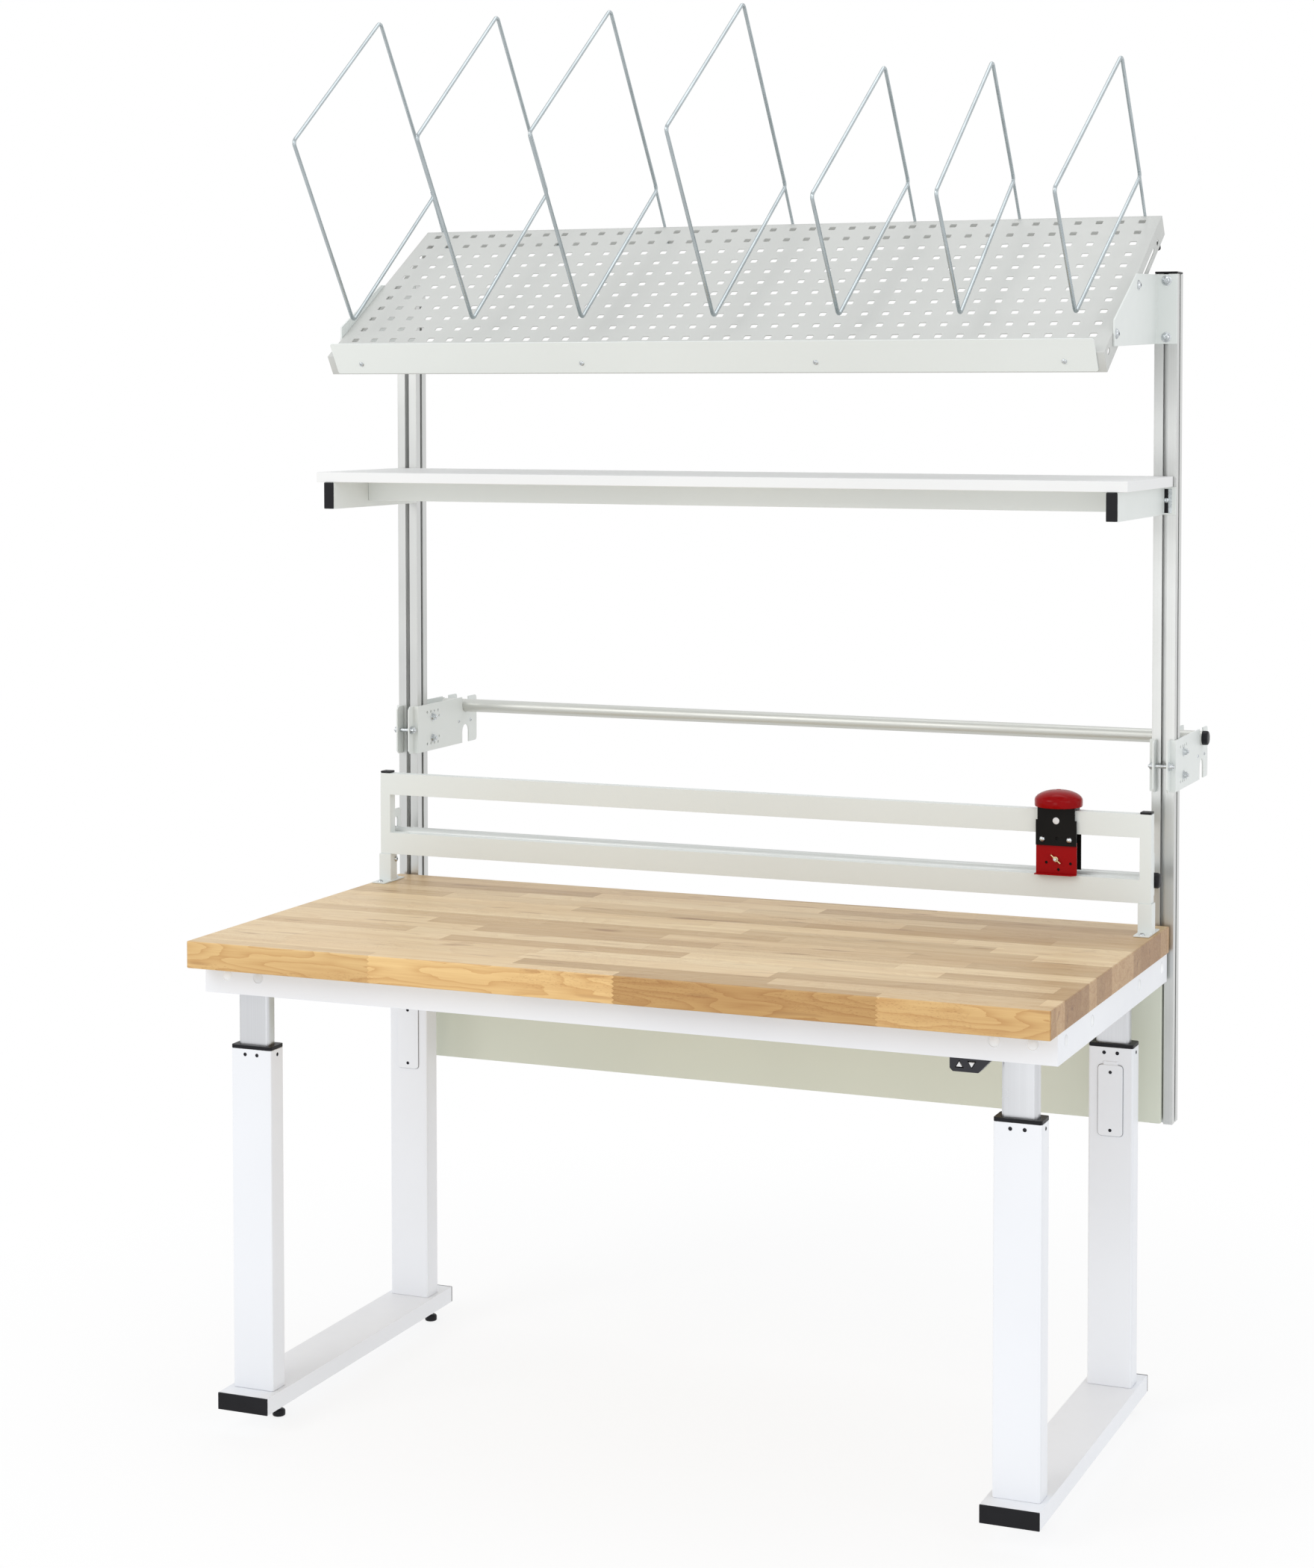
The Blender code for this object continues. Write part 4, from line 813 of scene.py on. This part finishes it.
select_edges(sheet, is_outer_fold)
bpy.ops.mesh.bevel(offset=0.0006, segments=2, affect="EDGES")
bpy.ops.object.mode_set(mode="OBJECT")
bpy.ops.object.shade_smooth_by_angle(angle=radians(40))
sheet_coat = powder_coat("grey_sheet_coat", (0.52, 0.53, 0.51), 0.4)
dress(sheet, sheet_coat, "sheet_paint", "top", "perforated_shelf")

# Lip: a flat steel strip with rounded corners, powder coated light grey. Four
# zinc-plated screws hold it on the sheet's front flange.
grey_coat = powder_coat("light_grey_coat", (0.71, 0.74, 0.72), 0.4)
lip = worked_copy("shelf_lip")
along_slope = slope_turn.to_3x3() @ Vector((0, -1, 0))


def is_lip_corner(edge):
    """The strip's four corners, through its thickness."""
    run = edge.verts[1].co - edge.verts[0].co
    return run.length < 0.003 and abs(run.normalized().dot(along_slope)) > 0.99


select_edges(lip, is_lip_corner)
bpy.ops.mesh.bevel(offset=0.0045, segments=4, affect="EDGES")
bpy.ops.object.mode_set(mode="OBJECT")
ease_edges(lip, 0.0004, 1)
dress(lip, grey_coat, "grey_paint", "top", "shelf_lip")
spots = [(on_slope(x, 0.4378, -0.0155), along_slope) for x in (-0.6491, -0.2158, 0.2163, 0.6465)]
screws = set_out("lip_screws", domed_screw(0.0046, 0.0022, 0.0018), spots)
dress(screws, bright_zinc, "zinc", "top")

# Brackets: folded steel plates bolted to the uprights' faces. Their wings carry
# the sheet on two bolts each.


def flanged_screw():
    """A button-head screw on a washer."""
    rim = [(0, 0.0012), (0.0082, 0.0012), (0.0087, 0.0008), (0.0087, 0)]
    washer = turn_piece("washer", rim, (0, 0, 0), 28)
    screw = domed_screw(0.0064, 0.0036, 0.0027)
    screw.data.transform(Matrix.Translation((0, 0, 0.0011)))
    return join_pieces("screw", [washer, screw])


for way, side in ((-1, "left"), (1, "right")):
    name = "shelf_bracket_" + side
    bracket = ease_edges(worked_copy(name), 0.0005, 2)
    dress(bracket, grey_coat, "grey_paint", "top", name)
    spots = [((way * 0.7365, 0.2552, level), (0, -1, 0)) for level in (1.9575, 1.8605)]
    spots += [
        ((way * 0.7183, y, level), (way, 0, 0))
        for y, level in ((0.1315, 1.9457), (-0.0130, 1.8615))
    ]
    bolts = set_out("bracket_bolts_" + side, flanged_screw(), spots)
    dress(bolts, bright_zinc, "zinc", "top")
    name = "sheet_buffer_" + side
    place = on_slope(way * 0.708, 0.012, -0.036)
    tip = [(0, -0.013), (0.0045, -0.013), (0.0055, -0.011), (0.0055, 0)]
    buffer = turn_piece(name, tip, (0, 0, 0), 20)
    buffer.data.transform(Matrix.Translation(place) @ Matrix.Rotation(slope, 4, "X"))
    dress(buffer, black_plastic, "black_plastic", "top")

# Wire dividers: round steel wire bent to a loop, zinc plated bright. A welded
# tail hooks each one round the sheet's rear flange.


def bend_corner(before, corner, after, radius, steps):
    """Points of a round bend between two straight runs of wire."""
    first = (before - corner).normalized()
    second = (after - corner).normalized()
    half = first.angle(second) / 2
    centre = corner + (first + second).normalized() * (radius / sin(half))
    reach = radius / sin(half) * cos(half)
    start = corner + first * reach - centre
    end = corner + second * reach - centre
    return [centre + start.slerp(end, step / steps) * radius for step in range(steps + 1)]


def bent_wire(name, points, closed, radius):
    """Round wire along points, turned into a mesh."""
    bpy.ops.object.select_all(action="DESELECT")
    curve = bpy.data.curves.new(name, "CURVE")
    curve.dimensions = "3D"
    curve.bevel_depth = radius
    curve.bevel_resolution = 3
    curve.use_fill_caps = not closed
    spline = curve.splines.new("POLY")
    spline.points.add(len(points) - 1)
    for place, point in zip(spline.points, points):
        place.co = (*point, 1)
    spline.use_cyclic_u = closed
    wire = bpy.data.objects.new(name, curve)
    bpy.context.scene.collection.objects.link(wire)
    pick_only(wire)
    bpy.ops.object.convert(target="MESH")
    bpy.ops.object.shade_smooth_by_angle(angle=radians(60))
    return bpy.context.object


wire_zinc = plated("wire_zinc", (0.44, 0.49, 0.51), 0.26, 0.12, 24)
tilt = radians(4.9)
lean = radians(2.2)
outer_loop_x = 0.684
loop_depth = 0.405
loop_bend = 0.009
loop_root = Vector((-0.0257, 0.074))
tail_path = (
    (-0.0230, 0.0850),
    (-0.0230, -0.0383),
    (-0.0203, -0.0410),
    (-0.0185, -0.0410),
    (-0.0155, -0.0383),
    (-0.0155, -0.0300),
)
loops = (
    (0, 0.006, 0.368),
    (0.174, 0.008, 0.368),
    (0.337, -0.003, 0.368),
    (0.522, -0.008, 0.368),
    (0.693, -0.015, 0.234),
    (0.835, 0.004, 0.234),
    (1, -0.025, 0.234),
)
for number_of_loop, (share, turn, height) in enumerate(loops, start=1):
    x = -outer_loop_x * (1 - 2 * share)
    run = Vector((cos(tilt), -sin(tilt))) * loop_depth
    rise = Vector((sin(lean), cos(lean))) * height
    corners = [
        on_slope(x, *loop_root),
        on_slope(x + turn, *(loop_root + run)),
        on_slope(x + turn, *(loop_root + run + rise)),
        on_slope(x, *(loop_root + rise)),
    ]
    path = []
    for index, corner in enumerate(corners):
        path += bend_corner(corners[index - 1], corner, corners[(index + 1) % 4], loop_bend, 8)
    loop = bent_wire("loop", path, True, 0.0033)
    hook = bent_wire("tail", [on_slope(x, *point) for point in tail_path], False, 0.0027)
    name = f"divider_{number_of_loop}"
    loop = join_pieces(name + "_made", [loop, hook])
    dress(loop, wire_zinc, "zinc", "top", name)

# Flat shelf: a chipboard panel with grey laminate and thin edge strips. It
# rests on two steel arms with a crossbar, and black caps close the arms.
low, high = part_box("laminate_shelf")
board = ease_edges(add_block("laminate_shelf_made", low, high), 0.001, 3)
laminate = powder_coat("grey_laminate", (0.77, 0.775, 0.77), 0.55, 0.4, 0.00006)
dress(board, laminate, "laminate", "top", "laminate_shelf")
arm_bottom = 1.5559
arm_inner = 0.714
arm_outer = 0.734
for way, side in ((-1, "left"), (1, "right")):
    name = "shelf_arm_" + side
    arm = worked_copy(name)
    ends = sorted((way * 0.70, way * 0.78))
    drill(arm, add_block("waste", (ends[0], 0.24, 1.5), (ends[1], 0.27, arm_bottom)))
    window = way * 0.7415
    drill(arm, add_block("window", (window - 0.0069, 0.24, 1.5585), (window + 0.0069, 0.2572, 1.6005)))
    ease_edges(arm, 0.0005, 2)
    dress(arm, grey_coat, "grey_paint", "top", name)
    # Two thin blocks fill each arm's window: a zinc strap, and beside it a black block that stands in for the
    # shaded inside of the window: painted shade.
    for part, from_x, to_x, finish, slot in (
        ("arm_slot_shade_", -0.0066, -0.0002, black_plastic, "black_plastic"),
        ("arm_strap_", 0.0002, 0.0066, bright_zinc, "zinc"),
    ):
        ends = sorted((window + way * from_x, window + way * to_x))
        insert = add_block(part + side, (ends[0], 0.2562, 1.5588), (ends[1], 0.2571, 1.6002))
        ease_edges(insert, 0.0002, 1)
        dress(insert, finish, slot, "top")
    spots = [((window - way * 0.003, 0.2561, 1.5805), (0, -1, 0))]
    bolt = set_out("arm_bolt_" + side, domed_screw(0.0046, 0.0026, 0.0021), spots)
    dress(bolt, bright_zinc, "zinc", "top")
    low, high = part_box(name)
    ends = sorted((way * arm_inner, way * arm_outer))
    end_cap = add_block(
        "arm_cap_" + side,
        (ends[0] + 0.0004, low.y - 0.0022, 1.5561),
        (ends[1] - 0.0004, low.y + 0.001, 1.6035),
    )
    ease_edges(end_cap, 0.0014, 3)
    dress(end_cap, black_plastic, "black_plastic", "top")
crossbar = worked_copy("crossbar")
bar_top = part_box("crossbar")[1].z
board_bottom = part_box("laminate_shelf")[0].z
for vertex in crossbar.data.vertices:
    if vertex.co.z > bar_top - 0.001:
        vertex.co.z = board_bottom - 0.0004
ease_edges(crossbar, 0.0008, 2)
dress(crossbar, grey_coat, "grey_paint", "top", "crossbar")

# Roll holder: four folded steel plates, clamped on the uprights with plated
# cross bolts. Index bolts stand in their rows of small holes.


def hexagon_bolt(across, height, end_radius):
    """A bolt head with a chamfered hexagon, pointing up."""
    outline = [
        (0, height),
        (end_radius, height),
        (across * 0.92, height * 0.98),
        (across, height * 0.75),
        (across, 0),
    ]
    bolt = turn_piece("bolt", outline, (0, 0, 0), 36)
    for vertex in bolt.data.vertices:
        flat = vertex.co.xy
        if flat.length > across * 0.96:
            turn = flat.angle_signed(Vector((1, 0))) % (pi / 3) - pi / 6
            vertex.co.xy = flat * (cos(pi / 6) / cos(turn))
    return bolt


def index_bolt():
    """A stud end, a nut and a washer on top of one another."""
    rim = [(0, 0.0013), (0.0074, 0.0013), (0.0078, 0.0009), (0.0078, 0)]
    washer = turn_piece("washer", rim, (0, 0, 0), 28)
    nut = hexagon_bolt(0.0062, 0.0062, 0.0036)
    tip = [(0, 0.0092), (0.0022, 0.0092), (0.0029, 0.0084), (0.0029, 0.005)]
    stud = turn_piece("stud", tip, (0, 0, 0), 20)
    return join_pieces("bolt", [washer, nut, stud])


hole_step = 0.0147
hole_spots = [(0.2930 + count * hole_step, level) for level in (1.1518, 1.0908) for count in range(4)]
hole_spots += [(0.3414, level) for level in (1.1412, 1.1010)]
upright_middle = 0.735
clamp_y = 0.2455
clamp_level = 1.122
for way, side in ((-1, "left"), (1, "right")):
    spots_large = []
    spots_small = []
    for layer, distance, facing in (("inner", 0.7122, -way), ("outer", 0.7578, way)):
        name = f"roll_plate_{layer}_{side}"
        plate = worked_copy(name)
        face = way * distance
        holes = [
            add_rod("hole", (face - 0.006, y, level), (face + 0.006, y, level), 0.0028, 16)
            for y, level in hole_spots
        ]
        drill(plate, join_pieces("holes", holes))
        ease_edges(plate, 0.0004, 1)
        dress(plate, grey_coat, "grey_paint", "top", name)
        spots_large += [((face + facing * 0.0002, 0.3155, level), (facing, 0, 0)) for level in (1.141, 1.100)]
        spots_small += [
            ((face, y, level), (facing, 0, 0))
            for y, level in ((0.4255, 1.1203), (0.4749, 1.1192))
        ]
    bolts = set_out("index_bolts_" + side, index_bolt(), spots_large)
    dress(bolts, bright_zinc, "zinc", "top")
    screws = set_out("plate_screws_" + side, domed_screw(0.0034, 0.0016, 0.0014), spots_small)
    dress(screws, bright_zinc, "zinc", "top")
    middle = way * upright_middle
    ends = [((middle + turn * 0.0137, clamp_y, clamp_level), (turn, 0, 0)) for turn in (-1, 1)]
    heads = set_out("clamp_heads_" + side, index_bolt(), ends)
    shank = add_rod(
        "shank", (middle - 0.0140, clamp_y, clamp_level), (middle + 0.0140, clamp_y, clamp_level), 0.0033
    )
    clamp_bolts = join_pieces("clamp_bolts_" + side, [heads, shank])
    dress(clamp_bolts, bright_zinc, "zinc", "top")

# Roll tube: a thin drawn aluminium tube with a satin skin, lying loose in the
# plates' notches. Black moulded caps sit on its ends.
tube_finish = anodised("tube_aluminium", (0.59, 0.60, 0.57), 0.37, "x", 0.45)
tube = ease_edges(worked_copy("roll_tube"), 0)
dress(tube, tube_finish, "roll_tube_aluminium", "roll_tube", "roll_tube")
plug_shape = [
    (0, 0.0026),
    (0.0104, 0.0026),
    (0.0117, 0.0020),
    (0.0125, 0.0007),
    (0.0128, -0.0030),
    (0.0128, -0.0078),
    (0.01255, -0.0078),
    (0.01255, 0.0003),
    (0, 0.0003),
]
ends = [((way * 0.7678, 0.4535, 1.15), (way, 0, 0)) for way in (-1, 1)]
tube_plugs = set_out("tube_plugs", turn_piece("plug", plug_shape, (0, 0, 0), 32), ends)
dress(tube_plugs, black_plastic, "black_plastic", "roll_tube")

# Cutting frame: square steel tube welded into a frame, powder coated light
# grey. Black plugs close the posts, and slotted plates guide the rod.
post_middle = 0.73
cutting_frame = ease_edges(worked_copy("cutting_frame"), 0.001, 2)
dress(cutting_frame, grey_coat, "grey_paint", "top", "cutting_frame")
for way, side in ((-1, "left"), (1, "right")):
    middle = way * post_middle
    post_cap = add_block(
        "post_cap_" + side, (middle - 0.01, 0.1565, 1.0501), (middle + 0.01, 0.1765, 1.0541)
    )
    ease_edges(post_cap, 0.0016, 3)
    dress(post_cap, black_plastic, "black_plastic", "top")
    name = "post_foot_" + side
    foot = ease_edges(worked_copy(name), 0.0006, 2)
    dress(foot, grey_coat, "grey_paint", "top", name)
    spots = [((middle, y, 0.8478), (0, 0, 1)) for y in (0.1362, 0.1968)]
    spots.append(((middle - way * 0.0123, 0.1745, 0.886), (-way, 0, 0)))
    screws = set_out("post_foot_screws_" + side, domed_screw(0.0054, 0.0031, 0.0022), spots)
    dress(screws, bright_zinc, "zinc", "top")

# Hold-down rod: a loose aluminium bar with turned black knobs. It slides up and
# down in the slotted plates.
rod_finish = anodised("rod_aluminium", (0.62, 0.64, 0.63), 0.42, "x", 0.45)
rod = ease_edges(worked_copy("hold_down_rod"), 0)
dress(rod, rod_finish, "rod_aluminium", "hold_down_rod", "hold_down_rod")
knob_shape = [
    (0, 0.0148),
    (0.0085, 0.0148),
    (0.0116, 0.0136),
    (0.0133, 0.0108),
    (0.0135, 0.0036),
    (0.0129, 0.0016),
    (0.0105, 0.0003),
    (0.0064, 0.0003),
]
ends = [((way * 0.7316, 0.1975, 0.932), (way, 0, 0)) for way in (-1, 1)]
knobs = set_out("rod_knobs", turn_piece("knob", knob_shape, (0, 0, 0), 36), ends)
dress(knobs, black_plastic, "black_plastic", "hold_down_rod")

# Cutter: a folded black steel saddle that runs on the upper rail, with a round
# steel blade between its cheeks. Two ball-headed screws hold its guide pads.
cutter_x = 0.575
black_coat = moulded("black_coat", (0.006, 0.0055, 0.005), 0.34, 0.1, 620)
body = worked_copy("cutter_body")
drill(body, add_rod("hole", (0.577, 0.145, 1.0014), (0.577, 0.152, 1.0014), 0.0029, 20))
ease_edges(body, 0.0006, 2)
dress(body, black_coat, "black_steel", "cutter", "cutter_body")
spots = [((x, 0.1494, 1.0001), (0, -1, 0)) for x in (0.5512, 0.5988)]
ball_shape = [
    (0, 0.0058),
    (0.0020, 0.0056),
    (0.0038, 0.0044),
    (0.0049, 0.0026),
    (0.0052, 0.0010),
    (0.0048, 0),
]
ball_screws = set_out("cutter_screws", turn_piece("screw", ball_shape, (0, 0, 0), 24), spots)
dress(ball_screws, bright_zinc, "zinc", "cutter")
# A white disc in the saddle's sight hole stands in for the lit rail face seen through it: painted light.
disc_shape = [(0, 0.0002), (0.0052, 0.0002), (0.0059, -0.0003), (0.0059, -0.0024)]
lit_sight_disc = turn_piece("cutter_sight_lit_disc", disc_shape, (0, 0, 0), 32)
lit_sight_disc = set_out("cutter_sight_lit_disc", lit_sight_disc, [((cutter_x, 0.1496, 1.032), (0, -1, 0))])
dress(lit_sight_disc, white_moulded, "white_plastic", "cutter")
# A black strip behind the red guard shows through its three holes as their dark inside: painted shade.
hole_shade_plate = add_block("guard_hole_shade", (0.548, 0.15495, 0.9435), (0.602, 0.1556, 0.966))
ease_edges(hole_shade_plate, 0.0002, 1)
dress(hole_shade_plate, black_coat, "black_steel", "cutter")

# Cutter knob: a mushroom-shaped grip on top of the saddle, moulded in
# high-gloss red plastic.
red_gloss, nodes, links, shader = new_finish("red_gloss", (0.34, 0.003, 0.007), 0.12)
cloud = add_noise(nodes, links, object_place(nodes, links), 30, 3)
reds = tone(nodes, links, cloud, (0.24, 0.001, 0.002), (0.29, 0.001, 0.003))
links.new(reds, shader.inputs["Base Color"])
links.new(vary(nodes, links, cloud, 0.05, 0.09), shader.inputs["Roughness"])
ripple = add_noise(nodes, links, object_place(nodes, links), 140, 2)
grain(nodes, links, shader, ripple, 0.05, 0.0004)
shader.inputs["Specular IOR Level"].default_value = 0.1
dome_shape = [
    (0.0120, 0.0000),
    (0.0240, 0.0000),
    (0.0370, 0.0002),
    (0.0406, 0.0012),
    (0.0414, 0.0032),
    (0.0414, 0.0118),
    (0.0409, 0.0146),
    (0.0392, 0.0172),
    (0.0360, 0.0204),
    (0.0300, 0.0240),
    (0.0230, 0.0266),
    (0.0155, 0.0284),
    (0.0085, 0.0293),
    (0.0045, 0.0295),
    (0.0038, 0.0299),
    (0.0022, 0.0300),
    (0.0000, 0.0300),
]
low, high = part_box("cutter_dome")
place = ((low.x + high.x) / 2, (low.y + high.y) / 2, low.z)
dome = turn_piece("cutter_dome_made", dome_shape, place, 72)
dress(dome, red_gloss, "red_gloss", "cutter", "cutter_dome")

# Cutter guard: a bent steel plate with a chamfered lip, powder coated red and
# held by the wing nut.
red_coat = powder_coat("red_coat", (0.30, 0.0012, 0.0025), 0.36, 0.1)
guard = worked_copy("cutter_guard")
for x, level in ((0.5573, 0.9592), (0.6000, 0.9587), (0.5787, 0.9477)):
    drill(guard, add_rod("hole", (x, 0.147, level), (x, 0.158, level), 0.0026, 20))
ease_edges(guard, 0.0005, 2)
dress(guard, red_coat, "red_paint", "cutter", "cutter_guard")
stud_shape = [(0, 0.0060), (0.0021, 0.0060), (0.0027, 0.0054), (0.0027, 0)]
stud = turn_piece("stud", stud_shape, (0, 0, 0), 24)
stud = set_out("guard_stud", stud, [((cutter_x, 0.1475, 0.966), (0, -1, 0))])
dress(stud, bright_zinc, "zinc", "cutter")

# Wing nut: cast steel, zinc plated with a yellow tint. It clamps the guard on
# its stud.
yellow_zinc = plated("yellow_zinc", (0.80, 0.66, 0.40), 0.28)
wing_nut = ease_edges(worked_copy("wing_nut"), 0.0005, 3)
dress(wing_nut, yellow_zinc, "zinc", "wing_nut", "wing_nut")
